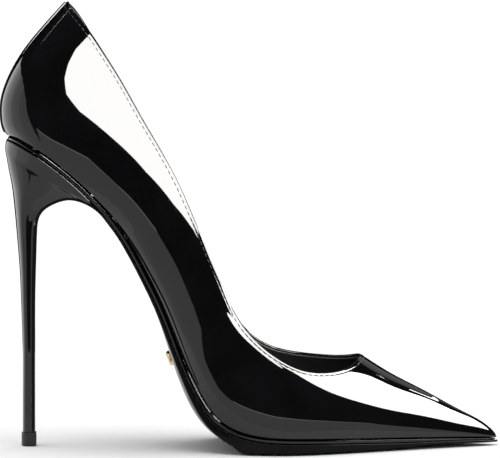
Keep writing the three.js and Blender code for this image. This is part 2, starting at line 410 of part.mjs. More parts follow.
// upper and what is behind it
add("upper", upperGeometry(), patent, upperGroup);
const inA = UPPER_T + GAP, inB = inA + STIFFENER_T + GAP;
const iCounter = cols.findIndex((c) => c.pT > .34), iPuff = cols.findIndex((c) => c.pT > .79), iSplit = cols.findIndex((c) => c.pT > .47);
add("heel_counter", layer(cols.slice(0, iCounter + 1), ROWS.slice(2, 6), inA, inA + STIFFENER_T), felt, upperGroup);
add("toe_puff", layer(cols.slice(iPuff, iToe), ROWS.slice(2), inA, inA + STIFFENER_T), felt, upperGroup);
const lineOuter = (c, t) => mix(inA, inB, stiff(c, t)), lineInner = (c, t) => lineOuter(c, t) + LINING_T;
const cSplit = cols[iSplit], cNext = cols[iSplit + 1];
const near = { pT: mix(cSplit.pT, cNext.pT, .1), pF: mix(cSplit.pF, cNext.pF, .1), vl: mix(cSplit.vl, cNext.vl, .1), vm: mix(cSplit.vm, cNext.vm, .1) };
add("quarter_lining", layer(cols.slice(0, iSplit + 1), ROWS.slice(1), lineOuter, lineInner), lining, upperGroup);
add("vamp_lining", layer([near, ...cols.slice(iSplit + 1, iToe)], ROWS.slice(1), lineOuter, lineInner), lining, upperGroup);
const grip = inB + LINING_T + GAP;
add("heel_grip", layer(cols.slice(0, 6), ROWS.slice(3, 6), grip, grip + .6), lining, upperGroup);
const strip = [cols[0], ...[.006, .0115].map((p) => column(p, mix(cols[0].vl, cols[1].vl, p / cols[1].pT), mix(cols[0].vm, cols[1].vm, p / cols[1].pT)))];
add("back_stay", layer(strip, [.03, .12, .22, .33, .44, .56, .67, .78, .89, .985], -.32, -.82, 0), patent, upperGroup);
{ // row of topline stitching, laid as one thread just outside the leather
  const ring = [], r = .17, C = cols.slice(0, NT + 1);
  const sect = (c, lat) => {
    const [p, v] = knot(c, lat, .952), n = p < 1e-6 ? lastNormal(0, -Math.abs(v)) : lastNormal(p, v), o = p < 1e-6 ? last(0, -Math.abs(v)) : last(p, v);
    const [p2, v2] = knot(c, lat, .94), dn = (p < 1e-6 ? last(0, -Math.abs(v2)) : last(p2, v2)).sub(o).normalize();
    const out = c.pT < .02 ? 1.25 : .6;
    return [[1, 0], [0, 1], [-1, 0], [0, -1]].map(([a, b]) => o.clone().addScaledVector(n, out + a * r).addScaledVector(dn, b * r));
  };
  for (let i = 0; i <= NT; i++) ring.push(sect(C[i], true));
  for (let i = NT - 1; i > 0; i--) ring.push(sect(C[i], false));
  add("topline_thread", loft(ring, true), thread, upperGroup);
}

// bottom: board, shank, filler, pads, sock
const nailAt = [[14, -6.9], [14, 6.9], [25, -6.9], [25, 6.9]], rivetAt = [34, 60], screwX = 19;
let insole = plate(stations(5.2, 174), (p) => 2.5 + 2.2 * smooth((xOf(p) - 130) / 25), BOARD_D0 + BOARD_T, BOARD_D0, 2);
let shank = plate(stations(15, 84), 0, 1.1, 0, 1, 4.5);
const holes = [], shankHoles = [];
for (const [x, y] of nailAt) holes.push(rod(1.9, seat(x, y, 0), seat(x, y, 5), 10));
for (const x of rivetAt) { holes.push(rod(1.5, seat(x, 0, 0), seat(x, 0, 5), 10)); shankHoles.push(rod(1.5, seat(x, 0, -2), seat(x, 0, 3), 10)); }
holes.push(rod(3.3, seat(screwX, 0, 0), seat(screwX, 0, 5), 12)); shankHoles.push(rod(1.85, seat(screwX, 0, -2), seat(screwX, 0, 3), 10));
add("insole_board", cut(insole, ...holes), board, bottomGroup);
add("shank", cut(shank, ...shankHoles), steel, bottomGroup);
rivetAt.forEach((x, i) => add("shank_rivet_" + (i + 1), turned([[0, 0], [1.0, 0], [1.2, .25], [1.2, 3.0], [1.0, 3.25], [0, 3.25]], seat(x, 0, -.1), seat(x, 0, 4), 8), steel, bottomGroup));
const marginEdge = (p) => Math.min(MARGIN, side(true, p) * .6, side(false, p) * .6) + .6;
add("forepart_filler", plate(stations(88, 168), marginEdge, FILLER_T, 0, 1), felt, bottomGroup);
const padD = BOARD_D0 + BOARD_T + GAP, padInset = (p) => 4.4 + 1.4 * smooth((xOf(p) - 130) / 30);
add("heel_cushion", plate(stations(7.5, 42), padInset, padD + PAD_T, padD, 2), foam, bottomGroup);
add("forepart_cushion", plate(stations(89, 148), padInset, padD + PAD_T, padD, 2), foam, bottomGroup);
const sockLow = (p) => padD + (PAD_T + GAP) * padMask(p);
add("sock_lining", plate(stations(7.2, 168), padInset, (p) => sockLow(p) + SOCK_T, sockLow, 4), lining, bottomGroup);
add("rand", randGeometry(), patent, bottomGroup);

// sole and its plate
const plateX = 70.4, pc = pOf(plateX), [pnx, pnz] = bottomNormal(pc), midD = lin(SOLE_MID, plateX);
const plateAt = (a, y, d) => { const q = bottom(pc, y, -d); return q.add(V(pnz * a, 0, -pnx * a)); };
const pinY = [-3.4, 3.4];
const soleHoles = pinY.map((y) => rod(.75, plateAt(0, y, midD + 1), plateAt(0, y, midD - 1.7), 8));
add("outsole", cut(outsoleGeometry(), ...soleHoles), sole, bottomGroup);
{
  const L = 2.45, W = 6, T = 1.15, c = .35, d0 = midD + .3, loop = (y, g) => [[-L, 0], [L, 0], [L, T - c], [L - c, T], [-L + c, T], [-L, T - c]].map(([a, t]) => plateAt(a * (1 - g * .12), y, d0 + t * (1 - g * .25)));
  add("sole_plate", loft([loop(-W, 1), loop(-W + .35, 0), loop(W - .35, 0), loop(W, 1)]), brass, bottomGroup);
}
pinY.forEach((y, i) => add("plate_pin_" + (i + 1), rod(.45, plateAt(0, y, midD + .2), plateAt(0, y, midD - 1.4), 8), brass, bottomGroup));

// heel
const AX = 10.25, axis = (z) => V(AX, 0, z);
const coreHoles = [rod(HOLE_R, axis(2), axis(81), 10), rod(1.85, seat(screwX, 0, 0), seat(screwX, 0, -20), 10), ...nailAt.map(([x, y]) => rod(1.15, seat(x, y, 0), seat(x, y, -13), 8))];
add("heel_core", cut(heelCore(), ...coreHoles), plastic, heelGroup);
add("heel_cover", heelCover(), patent, heelGroup);
add("heel_dowel", rod(DOWEL_R, axis(20.6), axis(80.5), 10), steel, heelGroup);
add("top_piece", cut(topPiece(), rod(HOLE_R, axis(2.2), axis(8), 10)), rubber, heelGroup);
add("top_piece_pin", rod(DOWEL_R, axis(2.6), axis(20.1), 10), steel, heelGroup);
add("heel_screw", turned([[0, 0], [1.3, 1.2], [1.5, 3], [1.5, 19.5], [2.9, 20.2], [2.9, 21], [0, 21]], seat(screwX, 0, -18), seat(screwX, 0, 3.2), 12), steel, heelGroup);
nailAt.forEach(([x, y], i) => add("heel_nail_" + (i + 1), turned([[0, 0], [.8, 1.2], [.8, 13.6], [1.6, 14], [1.6, 14.6], [0, 14.6]], seat(x, y, -11.6), seat(x, y, 3), 8), steel, heelGroup));

// origin: under the middle of the whole shoe, on the floor
frame.updateMatrixWorld(true);
const box = new THREE.Box3().setFromObject(frame);
frame.position.set(-(box.min.x + box.max.x) / 2, -(box.min.y + box.max.y) / 2, 0);

export default shoe;
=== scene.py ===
import math

import bmesh
import bpy
import numpy as np
from mathutils import Matrix, Vector


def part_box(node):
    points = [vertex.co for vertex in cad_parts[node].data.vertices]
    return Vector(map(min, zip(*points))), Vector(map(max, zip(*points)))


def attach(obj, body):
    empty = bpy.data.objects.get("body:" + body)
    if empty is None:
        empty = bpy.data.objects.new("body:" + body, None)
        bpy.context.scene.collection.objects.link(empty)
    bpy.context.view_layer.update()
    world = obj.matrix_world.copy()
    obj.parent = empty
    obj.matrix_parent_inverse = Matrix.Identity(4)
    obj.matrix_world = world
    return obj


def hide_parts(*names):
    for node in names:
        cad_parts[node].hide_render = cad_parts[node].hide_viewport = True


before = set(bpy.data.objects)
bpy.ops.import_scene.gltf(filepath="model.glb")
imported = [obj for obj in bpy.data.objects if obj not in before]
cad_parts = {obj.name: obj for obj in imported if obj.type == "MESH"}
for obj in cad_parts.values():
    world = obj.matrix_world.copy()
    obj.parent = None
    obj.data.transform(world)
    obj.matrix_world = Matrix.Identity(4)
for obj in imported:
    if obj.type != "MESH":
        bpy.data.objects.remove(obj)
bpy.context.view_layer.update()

PI = math.pi

# ------------------------------------------------------------------ frame: local millimetres (x from the back, floor z = 0) to metres
_lo, _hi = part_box("top_piece")
OX, OY = _lo.x * 1000 - 7.8, (_lo.y + _hi.y) * 500


def metres(P):
    P = np.asarray(P, float)
    return (P + np.array([OX, OY, 0.0])) / 1000


# ------------------------------------------------------------------ splines and the last surface
class Spline:
    def __init__(s, t, y, e0="nat", e1="nat"):
        t, y = np.array(t, float), np.array(y, float)
        n, h = len(t), np.diff(t)
        A, r = np.zeros((n, n)), np.zeros(n)
        for i in range(1, n - 1):
            A[i, i - 1], A[i, i], A[i, i + 1] = h[i - 1], 2 * (h[i - 1] + h[i]), h[i]
            r[i] = 6 * ((y[i + 1] - y[i]) / h[i] - (y[i] - y[i - 1]) / h[i - 1])
        A[0, 0] = A[-1, -1] = 1
        if e0 == "even":
            A[0, 0], A[0, 1], r[0] = 2 * h[0], h[0], 6 * (y[1] - y[0]) / h[0]
        if e1 == "even":
            A[-1, -2], A[-1, -1], r[-1] = h[-1], 2 * h[-1], -6 * (y[-1] - y[-2]) / h[-1]
        s.t, s.y, s.m = t, y, np.linalg.solve(A, r)

    def __call__(s, x):
        x = np.asarray(x, float)
        t, y, m = s.t, s.y, s.m
        i = np.clip(np.searchsorted(t, x) - 1, 0, len(t) - 2)
        h = t[i + 1] - t[i]
        a, b = (t[i + 1] - x) / h, (x - t[i]) / h
        return a * y[i] + b * y[i + 1] + ((a**3 - a) * m[i] + (b**3 - b) * m[i + 1]) * h * h / 6


def smoothstep(x):
    x = np.clip(x, 0, 1)
    return x * x * (3 - 2 * x)


def mix(a, b, t):
    return a + (b - a) * t


XB, XT = 2.1, 192.3


def p_of(x):
    return np.arccos(np.clip(1 - 2 * (np.asarray(x, float) - XB) / (XT - XB), -1, 1)) / PI


def x_of(p):
    return XB + (XT - XB) * (1 - np.cos(PI * np.asarray(p, float))) / 2


class Table:
    """A spline through (x, value) rows, faired so that reflections run smoothly over it."""

    def __init__(s, rows, e0="nat", e1="nat", fair=0.013, spline=None):
        sp = spline or Spline([float(p_of(r[0])) for r in rows], [r[1] for r in rows], e0, e1)
        n = 1600
        s.g = np.linspace(0, 1, n + 1)
        y = sp(s.g)
        k = int(4 * fair * n)
        lo, hi = y[1 : k + 1][::-1], y[-k - 1 : -1][::-1]
        if e0 != "even":
            lo = 2 * y[0] - lo
        if e1 != "even":
            hi = 2 * y[-1] - hi
        w = np.exp(-0.5 * (np.arange(-k, k + 1) / (fair * n)) ** 2)
        s.y = np.convolve(np.concatenate([lo, y, hi]), w / w.sum(), "valid")

    def __call__(s, p):
        p = np.clip(np.asarray(p, float), 0, 1) * (len(s.g) - 1)
        i = np.clip(p.astype(int), 1, len(s.g) - 3)
        f = p - i
        y0, y1, y2, y3 = s.y[i - 1], s.y[i], s.y[i + 1], s.y[i + 2]
        return y1 + 0.5 * f * (y2 - y0 + f * (2 * y0 - 5 * y1 + 4 * y2 - y3 + f * (3 * (y1 - y2) + y3 - y0)))


FEATHER_Z = [(2.1, 121.0), (6.4, 120.6), (11.6, 118.2), (16.8, 115.2), (24.1, 109.8), (30.5, 104.2), (36.1, 98.6), (40.6, 93.7), (45, 88.3), (49.5, 81.4), (54.2, 72.8), (57.7, 66.0), (61.2, 59.0), (65.6, 48.6), (69.2, 39.0), (73.7, 28.6), (77.7, 20.7), (81.2, 15.6), (85.6, 11.7), (90.1, 9.4), (96.1, 7.7), (103.5, 6.7), (115.9, 6.2), (140.3, 5.3), (166.3, 4.2), (179.9, 3.6), (192.3, 3.0)]
WIDTH_L = [(2.1, 0), (6, 12.2), (12, 17.8), (20, 21.3), (28, 21.8), (36, 20.6), (45, 18.4), (55, 17.6), (64, 18.6), (72, 21.8), (80, 27.0), (88, 32.2), (96, 36.2), (105, 38.4), (115, 37.8), (125, 34.6), (135, 29.9), (145, 24.7), (155, 19.6), (165, 14.7), (175, 9.9), (183, 6.1), (188, 3.6), (192.3, 0)]
WIDTH_M = [(2.1, 0), (6, 12.2), (12, 17.6), (20, 21.0), (28, 21.2), (36, 19.6), (45, 16.8), (55, 15.2), (64, 15.8), (72, 19.0), (80, 24.5), (88, 30.2), (96, 34.6), (105, 36.9), (115, 36.2), (125, 33.2), (135, 29.0), (145, 24.4), (155, 19.6), (165, 14.7), (175, 9.9), (183, 6.1), (188, 3.6), (192.3, 0)]
WIDTH_B = [(2.1, 0), (6, 14.6), (12, 21.4), (20, 26.2), (28, 28.2), (36, 28.6), (45, 28.2), (55, 27.8), (64, 28.4), (72, 30.2), (80, 33.2), (88, 36.6), (96, 39.2), (105, 40.4), (115, 39.4), (125, 36.2), (135, 31.4), (145, 26.1), (155, 20.8), (165, 15.7), (175, 10.7), (183, 6.7), (188, 4.0), (192.3, 0)]
ZF = Table(FEATHER_Z, "even", "even", 0.008)
WL, WM, WB = Table(WIDTH_L), Table(WIDTH_M), Table(WIDTH_B)
SW = Table([(2.1, .16), (20, .16), (45, .12), (64, .12), (80, .12), (100, .14), (130, .16), (160, .2), (192.3, .2)], "even", "even", .02)
RH = Table([(2.1, 90), (12, 88), (24, 84), (36, 76), (48, 67.5), (60, 62), (70, 60), (80, 59), (90, 57), (100, 52.8), (110, 47.2), (120, 41.2), (130, 35.3), (139.2, 30.2), (148.7, 24.4), (159.9, 19.0), (166.4, 15.9), (173.1, 12.4), (179.8, 9.2), (185, 6.8), (188, 4.95), (190.5, 2.9), (192.3, 0)], "even", "nat")
RY = Table([(2.1, 0), (40, 1), (80, 2.2), (110, 3), (130, 3), (150, 2), (170, 1), (192.3, 0)], "even", "even", .02)
CY = Table([(2.1, 0), (60, 0), (100, 0), (130, .4), (150, 1.2), (170, 1.9), (192.3, 2.2)], "even", "even", .02)
LN = Table([(2.1, 25), (20, 25), (40, 24.5), (55, 22.5), (65, 19.5), (75, 14.5), (85, 8.8), (95, 4.4), (105, 1.6), (118, .3), (130, 0), (192.3, 0)], "even", "even", .02)
BD = Table([(2.1, 1), (8, .93), (16, .72), (26, .42), (36, .18), (48, .03), (60, 0), (100, 0), (192.3, 0)], "even", "even", .01)
BC = Spline([0, 2.33, 6.1, 9.5, 13, 17, 21, 25.4, 31.9, 39.2, 45.9, 57.55, 70, 90], [0, 2.5, 5.1, 6.7, 7.75, 8.35, 8.55, 8.4, 7.65, 6.1, 4.2, .58, -4.2, -12])


def S(p, v):
    """Last surface; v = -1 lateral feather, 0 ridge, +1 medial feather."""
    p, v = np.broadcast_arrays(np.asarray(p, float), np.asarray(v, float))
    psi = (PI / 2) * (1 - np.abs(v))
    eta, c = np.sin(psi), np.cos(psi)
    lat = v < 0
    wf = np.where(lat, WL(p), WM(p))
    B = wf + (WB(p) - wf) * (1 - np.exp(-eta / SW(p)))
    h = RH(p) * eta
    d, b = np.radians(LN(p)), BD(p) * BC(h)
    return np.stack([x_of(p) + np.sin(d) * h - np.cos(d) * b, CY(p) + np.where(lat, -1, 1) * B * c + RY(p) * eta**2, ZF(p) + np.cos(d) * h + np.sin(d) * b], -1)


def unit(a):
    return a / np.maximum(np.linalg.norm(a, axis=-1, keepdims=True), 1e-12)


def tangents(p, v):
    e = 4e-4
    s = np.where(v < 0, -1.0, 1.0)
    a = np.abs(v)
    pa, pb = np.clip(p - e, 0, 1), np.clip(p + e, 0, 1)
    va, vb = np.clip(a - e, 1e-9, 1), np.clip(a + e, 1e-9, 1)
    Sp = (S(pb, s * np.maximum(a, 1e-9)) - S(pa, s * np.maximum(a, 1e-9))) / (pb - pa)[..., None]
    Sv = (S(p, s * vb) - S(p, s * va)) / (vb - va)[..., None]
    return Sp, Sv, s


def normal(p, v):
    p, v = np.broadcast_arrays(np.asarray(p, float), np.asarray(v, float))
    q = np.clip(p, 2e-4, 1 - 4e-3)
    Sp, Sv, s = tangents(q, v)
    n = unit(np.cross(Sp, Sv)) * np.where(s < 0, -1.0, 1.0)[..., None]
    back = (p < 1e-6)[..., None]
    n = np.where(back, unit(n * np.array([1, 0, 1])), n)
    return np.where((p > 1 - 1e-6)[..., None], np.array([1.0, 0, 0]), n)


def depth(p, v, d):
    return S(p, v) - normal(p, v) * np.asarray(d)[..., None]


def bottom(p, y, d):
    """Point at y on the feather surface of station p, raised by d along its normal."""
    p, y, d = np.broadcast_arrays(np.asarray(p, float), np.asarray(y, float), np.asarray(d, float))
    q = np.clip(p, .004, .996)
    e = 2e-3
    dx, dz = x_of(q + e) - x_of(q - e), ZF(q + e) - ZF(q - e)
    l = np.hypot(dx, dz)
    return np.stack([x_of(p) - dz / l * d, y, ZF(p) + dx / l * d], -1)


# ------------------------------------------------------------------ topline, and the fan of columns that runs from it to the feather
TOP_L = [(0, .5584), (.1254, .5886), (.1656, .6032), (.1966, .6178), (.2562, .6377), (.3059, .6458), (.3328, .6319), (.36, .6055), (.3794, .5904), (.393, .5689), (.4063, .545), (.4405, .488), (.4693, .5026), (.496, .5323), (.5148, .5546), (.533, .5693), (.5501, .5809), (.5747, .5726), (.5993, .5236), (.6158, .4666), (.6289, .3878), (.6385, .2873), (.6445, .1409), (.6463, 0)]
TOP_M = [(0, .5584), (.1243, .5963), (.1643, .6202), (.1965, .6447), (.2568, .6743), (.3059, .687), (.3328, .6786), (.3593, .6613), (.3782, .6525), (.3919, .6355), (.4047, .6119), (.4362, .5679), (.4633, .5723), (.4905, .5993), (.5095, .6126), (.5288, .6097), (.5487, .5924), (.5747, .5488), (.5993, .4828), (.6158, .4179), (.6289, .3373), (.6385, .2363), (.6445, .0954), (.6463, 0)]
THROAT = .6463


def topline(rows, sign):
    """(p, v) along one side's topline as faired functions of arc fraction."""
    P = S(np.array([r[0] for r in rows]), sign * np.maximum([r[1] for r in rows], 1e-9))
    s = np.concatenate([[0], np.cumsum(np.linalg.norm(np.diff(P, axis=0), axis=1))])
    L = s[-1]
    s = s / L
    fp = Table(None, "nat", "even", .012, Spline(s, [r[0] for r in rows], "nat", "even"))
    fv = Table(None, "nat", "nat", .012, Spline(s, [r[1] for r in rows]))
    return fp, fv, L


def columns(rows, sign, nA, nB, nC, reach=1.0):
    """Column starts (p, v, distance frame) and ends for one side, from the centre back to the throat."""
    fp, fv, L = topline(rows, sign)
    g = np.linspace(0, 1, 4001)
    gp = fp(g)
    sA = np.interp(.50, gp, g)
    sB = np.interp(.6165, gp, g)
    a = sA * (np.linspace(0, 1, nA + 1) ** 1.12)
    b = sA + (sB - sA) * (np.linspace(0, 1, nB + 1)[1:])
    c = sB + (1 - sB) * (np.linspace(0, 1, nC + 1)[1:])
    s = np.concatenate([a, b, c])
    pT, vT = fp(s), np.maximum(fv(s), 0)
    pT[0] = 0
    pT[-1], vT[-1] = fp(1.0), 0
    kB = np.clip((s - sA) / (sB - sA), 0, 1)
    end = Spline([0, .25, .5, .75, 1], [.50, .565, .66, .80, reach])
    pF = np.where(s <= sA, pT, np.where(s >= sB, reach, end(kB)))
    vF = np.where(s <= sB, 1.0, 1 - (s - sB) / (1 - sB))
    # direction away from the opening, in (p, v), per millimetre
    T = S(pT, sign * np.maximum(vT, 1e-9))
    tan = unit(np.gradient(T, s, axis=0))
    n = normal(pT, sign * np.maximum(vT, 1e-9))
    away = unit(np.cross(n, tan)) * sign
    Sp, Sv, _ = tangents(np.clip(pT, 4e-4, 1), sign * np.maximum(vT, 1e-9))
    centre = unit(Sv)
    away = unit(mix(centre, away, smoothstep(s * L / 7)[:, None]))
    away[-1] = unit(Sp[-1])
    a11, a12, a22 = (Sp * Sp).sum(-1), (Sp * Sv).sum(-1), (Sv * Sv).sum(-1)
    r1, r2 = (Sp * away).sum(-1), (Sv * away).sum(-1)
    det = a11 * a22 - a12 * a12
    dp, dv = (r1 * a22 - r2 * a12) / det, (r2 * a11 - r1 * a12) / det
    dp[0] = 0
    dv[-1] = 0
    return dict(s=s, p=pT, v=vT, dp=dp, dv=dv, pF=pF, vF=vF, sign=sign, L=L)


NEAR = 4.0  # millimetres below the topline over which rows follow it


def column_points(C, near, far):
    """(p, v) arrays [column, row]: rows at the distances near from the topline, then fractions far of the way to the feather."""
    near, far = np.asarray(near, float), np.asarray(far, float)
    p1 = C["p"][:, None] + C["dp"][:, None] * near
    v1 = C["v"][:, None] + C["dv"][:, None] * near
    p0, v0 = C["p"] + C["dp"] * NEAR, C["v"] + C["dv"] * NEAR
    p2 = mix(p0[:, None], C["pF"][:, None], far)
    v2 = mix(v0[:, None], C["vF"][:, None], far)
    p, v = np.concatenate([p1, p2], 1), np.concatenate([v1, v2], 1)
    return np.clip(p, 0, 1), np.clip(v, 0, 1) * C["sign"]


# ------------------------------------------------------------------ mesh helpers
def grid_faces(nc, nr, close_c=False, close_r=False, base=0):
    i, j = np.meshgrid(np.arange(nc if close_c else nc - 1), np.arange(nr if close_r else nr - 1), indexing="ij")
    i2, j2 = (i + 1) % nc, (j + 1) % nr
    f = np.stack([i * nr + j, i2 * nr + j, i2 * nr + j2, i * nr + j2], -1).reshape(-1, 4)
    return f + base


def make(name, verts, faces, material, replaces=(), weld=2e-6, angle=None, hard=False):
    me = bpy.data.meshes.new(name)
    V = metres(verts)
    me.from_pydata(V.tolist(), [], [tuple(f) for f in faces])
    o = bpy.data.objects.new(name, me)
    bpy.context.scene.collection.objects.link(o)
    bm = bmesh.new()
    bm.from_mesh(me)
    bmesh.ops.remove_doubles(bm, verts=bm.verts, dist=weld)
    bmesh.ops.dissolve_degenerate(bm, edges=bm.edges, dist=weld)
    bmesh.ops.recalc_face_normals(bm, faces=bm.faces)
    for f in bm.faces:
        f.smooth = not hard
    bm.to_mesh(me)
    bm.free()
    if angle is not None:
        me.set_sharp_from_angle(angle=math.radians(angle))
    me.materials.append(material)
    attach(o, "root")
    if replaces:
        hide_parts(*replaces)
    return o


def loft(sections, close=False, caps=True):
    """sections [k, i, 3], each a closed ring. Caps are ladders across the ring."""
    A = np.asarray(sections, float)
    K, n = A.shape[:2]
    faces = [tuple(f) for f in grid_faces(K, n, close, True)]
    if caps and not close:
        for k in (0, K - 1):
            b = k * n
            for i in range(n // 2 - 1):
                faces.append((b + i, b + i + 1, b + n - 2 - i, b + n - 1 - i))
    return A.reshape(-1, 3), faces


# ------------------------------------------------------------------ materials
def node_material(name, base, rough=.5, metallic=0.0, spec=.5, coat=0.0, coat_rough=.03):
    m = bpy.data.materials.new(name)
    m.use_nodes = True
    m.diffuse_color = (*base, 1)
    t = m.node_tree
    b = t.nodes["Principled BSDF"]
    b.inputs["Base Color"].default_value = (*base, 1)
    b.inputs["Roughness"].default_value = rough
    b.inputs["Metallic"].default_value = metallic
    b.inputs["Specular IOR Level"].default_value = spec
    b.inputs["Coat Weight"].default_value = coat
    b.inputs["Coat Roughness"].default_value = coat_rough
    return m, t, b


def coords(t, scale=1.0):
    c = t.nodes.new("ShaderNodeTexCoord")
    mp = t.nodes.new("ShaderNodeMapping")
    mp.inputs["Scale"].default_value = (scale,) * 3 if np.isscalar(scale) else scale
    t.links.new(c.outputs["Object"], mp.inputs["Vector"])
    return mp.outputs["Vector"]


def noise(t, vec, scale, detail=2.0, rough=.5):
    n = t.nodes.new("ShaderNodeTexNoise")
    n.inputs["Scale"].default_value = scale
    n.inputs["Detail"].default_value = detail
    n.inputs["Roughness"].default_value = rough
    t.links.new(vec, n.inputs["Vector"])
    return n.outputs["Fac"]


def ramp(t, fac, stops):
    r = t.nodes.new("ShaderNodeValToRGB")
    e = r.color_ramp.elements
    while len(e) < len(stops):
        e.new(.5)
    for el, (pos, col) in zip(e, stops):
        el.position = pos
        el.color = (*col, 1) if not np.isscalar(col) else (col, col, col, 1)
    t.links.new(fac, r.inputs["Fac"])
    return r.outputs["Color"]


def bump(t, b, height, strength, distance=.0002, coat=False):
    n = t.nodes.new("ShaderNodeBump")
    n.inputs["Strength"].default_value = strength
    n.inputs["Distance"].default_value = distance
    t.links.new(height, n.inputs["Height"])
    t.links.new(n.outputs["Normal"], b.inputs["Normal"])
    if coat:
        t.links.new(n.outputs["Normal"], b.inputs["Coat Normal"])
    return n


def patent(name, base=(.004, .004, .0045), rough=.028, peel=.02):
    m, t, b = node_material(name, base, rough, spec=.5)
    v = coords(t)
    r = ramp(t, noise(t, v, 900, 3), [(.3, rough * .7), (.75, rough * 1.5)])
    t.links.new(r, b.inputs["Roughness"])
    c = ramp(t, noise(t, v, 60, 3), [(.3, tuple(x * .75 for x in base)), (.7, tuple(x * 1.3 for x in base))])
    t.links.new(c, b.inputs["Base Color"])
    bump(t, b, noise(t, v, 420, 2), peel, .00002)
    return m


def leather(name, base, rough=.5, grain=1800, strength=.35, spec=.45):
    m, t, b = node_material(name, base, rough, spec=spec)
    v = coords(t)
    vo = t.nodes.new("ShaderNodeTexVoronoi")
    vo.feature = "DISTANCE_TO_EDGE"
    vo.inputs["Scale"].default_value = grain
    t.links.new(v, vo.inputs["Vector"])
    h = t.nodes.new("ShaderNodeMath")
    h.operation = "ADD"
    g = ramp(t, vo.outputs["Distance"], [(0.0, 0.0), (.12, 1.0)])
    t.links.new(g, h.inputs[0])
    t.links.new(noise(t, v, grain * .35, 4), h.inputs[1])
    bump(t, b, h.outputs[0], strength, .00006)
    t.links.new(ramp(t, noise(t, v, 45, 4), [(.25, tuple(x * .6 for x in base)), (.75, tuple(min(1, x * 1.5) for x in base))]), b.inputs["Base Color"])
    t.links.new(ramp(t, noise(t, v, 220, 3), [(.3, rough * .8), (.7, min(1, rough * 1.25))]), b.inputs["Roughness"])
    return m


def plain(name, base, rough, metallic=0.0, grain=300, strength=.15, dist=.00004, spec=.5, stretch=(1, 1, 1)):
    m, t, b = node_material(name, base, rough, metallic, spec)
    v = coords(t, stretch)
    bump(t, b, noise(t, v, grain, 4), strength, dist)
    t.links.new(ramp(t, noise(t, v, grain * .12, 3), [(.3, tuple(x * .8 for x in base)), (.7, tuple(min(1, x * 1.2) for x in base))]), b.inputs["Base Color"])
    t.links.new(ramp(t, noise(t, v, grain * .5, 3), [(.3, rough * .8), (.7, min(1, rough * 1.25))]), b.inputs["Roughness"])
    return m


MAT = dict(
    upper=patent("patent_upper"),
    trim=patent("patent_trim", (.0035, .0035, .004), .045, .006),
    heel=patent("patent_heel", (.005, .005, .0055), .05, .01),
    lining=leather("lining", (.016, .0145, .014), .48, 2200, .3),
    sock=leather("sock", (.018, .0165, .016), .42, 1700, .35),
    suede=plain("suede", (.02, .018, .017), .95, 0, 3500, .9, .0002, .2),
    stiffener=plain("stiffener", (.30, .27, .22), .95, 0, 1500, .6, .0002, .2),
    board=plain("insole_board", (.36, .25, .15), .9, 0, 900, .5, .0001, .3),
    foam=plain("foam", (.20, .20, .20), .95, 0, 2600, .8, .0002, .2),
    sole=leather("sole_leather", (.003, .003, .003), .2, 2600, .03, .1),
    plastic=plain("heel_plastic", (.05, .05, .055), .5, 0, 500, .2),
    tip=plain("tip_rubber", (.008, .008, .008), .38, 0, 1600, .25, .00003, .45),
    steel=plain("steel", (.62, .63, .65), .3, 1.0, 400, .12, .00002, .5, (1, 1, .05)),
    brass=plain("brass", (.83, .62, .36), .2, 1.0, 350, .10, .00002, .5, (1, 8, 1)),
    thread=plain("thread", (.006, .006, .006), .6, 0, 4000, .8, .0001, .4),
)

# ------------------------------------------------------------------ upper: outer wall, rolled topline, inner wall, lasting margin
K = 1
RIM = .68
UT = 1.1
RF = .9


def shell_ring(rowfun, cols_l, cols_m):
    """Rows of both sides joined into one ring through the centre back and the throat."""
    A, B = rowfun(cols_l), rowfun(cols_m)
    return np.concatenate([A, B[::-1][1:-1]], 0)


def feather_inset(p, v):
    h = RH(p) * np.sin((PI / 2) * (1 - np.abs(v)))
    k = np.clip((RF - h) / RF, 0, 1)
    r = RF * smoothstep((1 - p) / .06)
    return r * (1 - np.sqrt(1 - k * k))


near_rows = np.array([RIM, .80, .95, 1.15, 1.35, 1.5, 1.62, 1.74, 1.86, 2.0, 2.2, 2.5, 3.0, 3.5, NEAR])
far_t = np.linspace(0, 1, 46 // K)[1:]
far_rows = 1 - (1 - far_t) ** 1.25
far_rows = np.unique(np.concatenate([far_rows, [.985, .9925, .9965, .9985, 1.0]]))
NA, NB, NC = 150 // K, 120 // K, 50 // K
COL_L, COL_M = columns(TOP_L, -1, NA, NB, NC), columns(TOP_M, 1, NA, NB, NC)


def groove(d):  # the stitched row sinks slightly into the leather
    return .03 * np.exp(-((d - 1.7) / .24) ** 2)


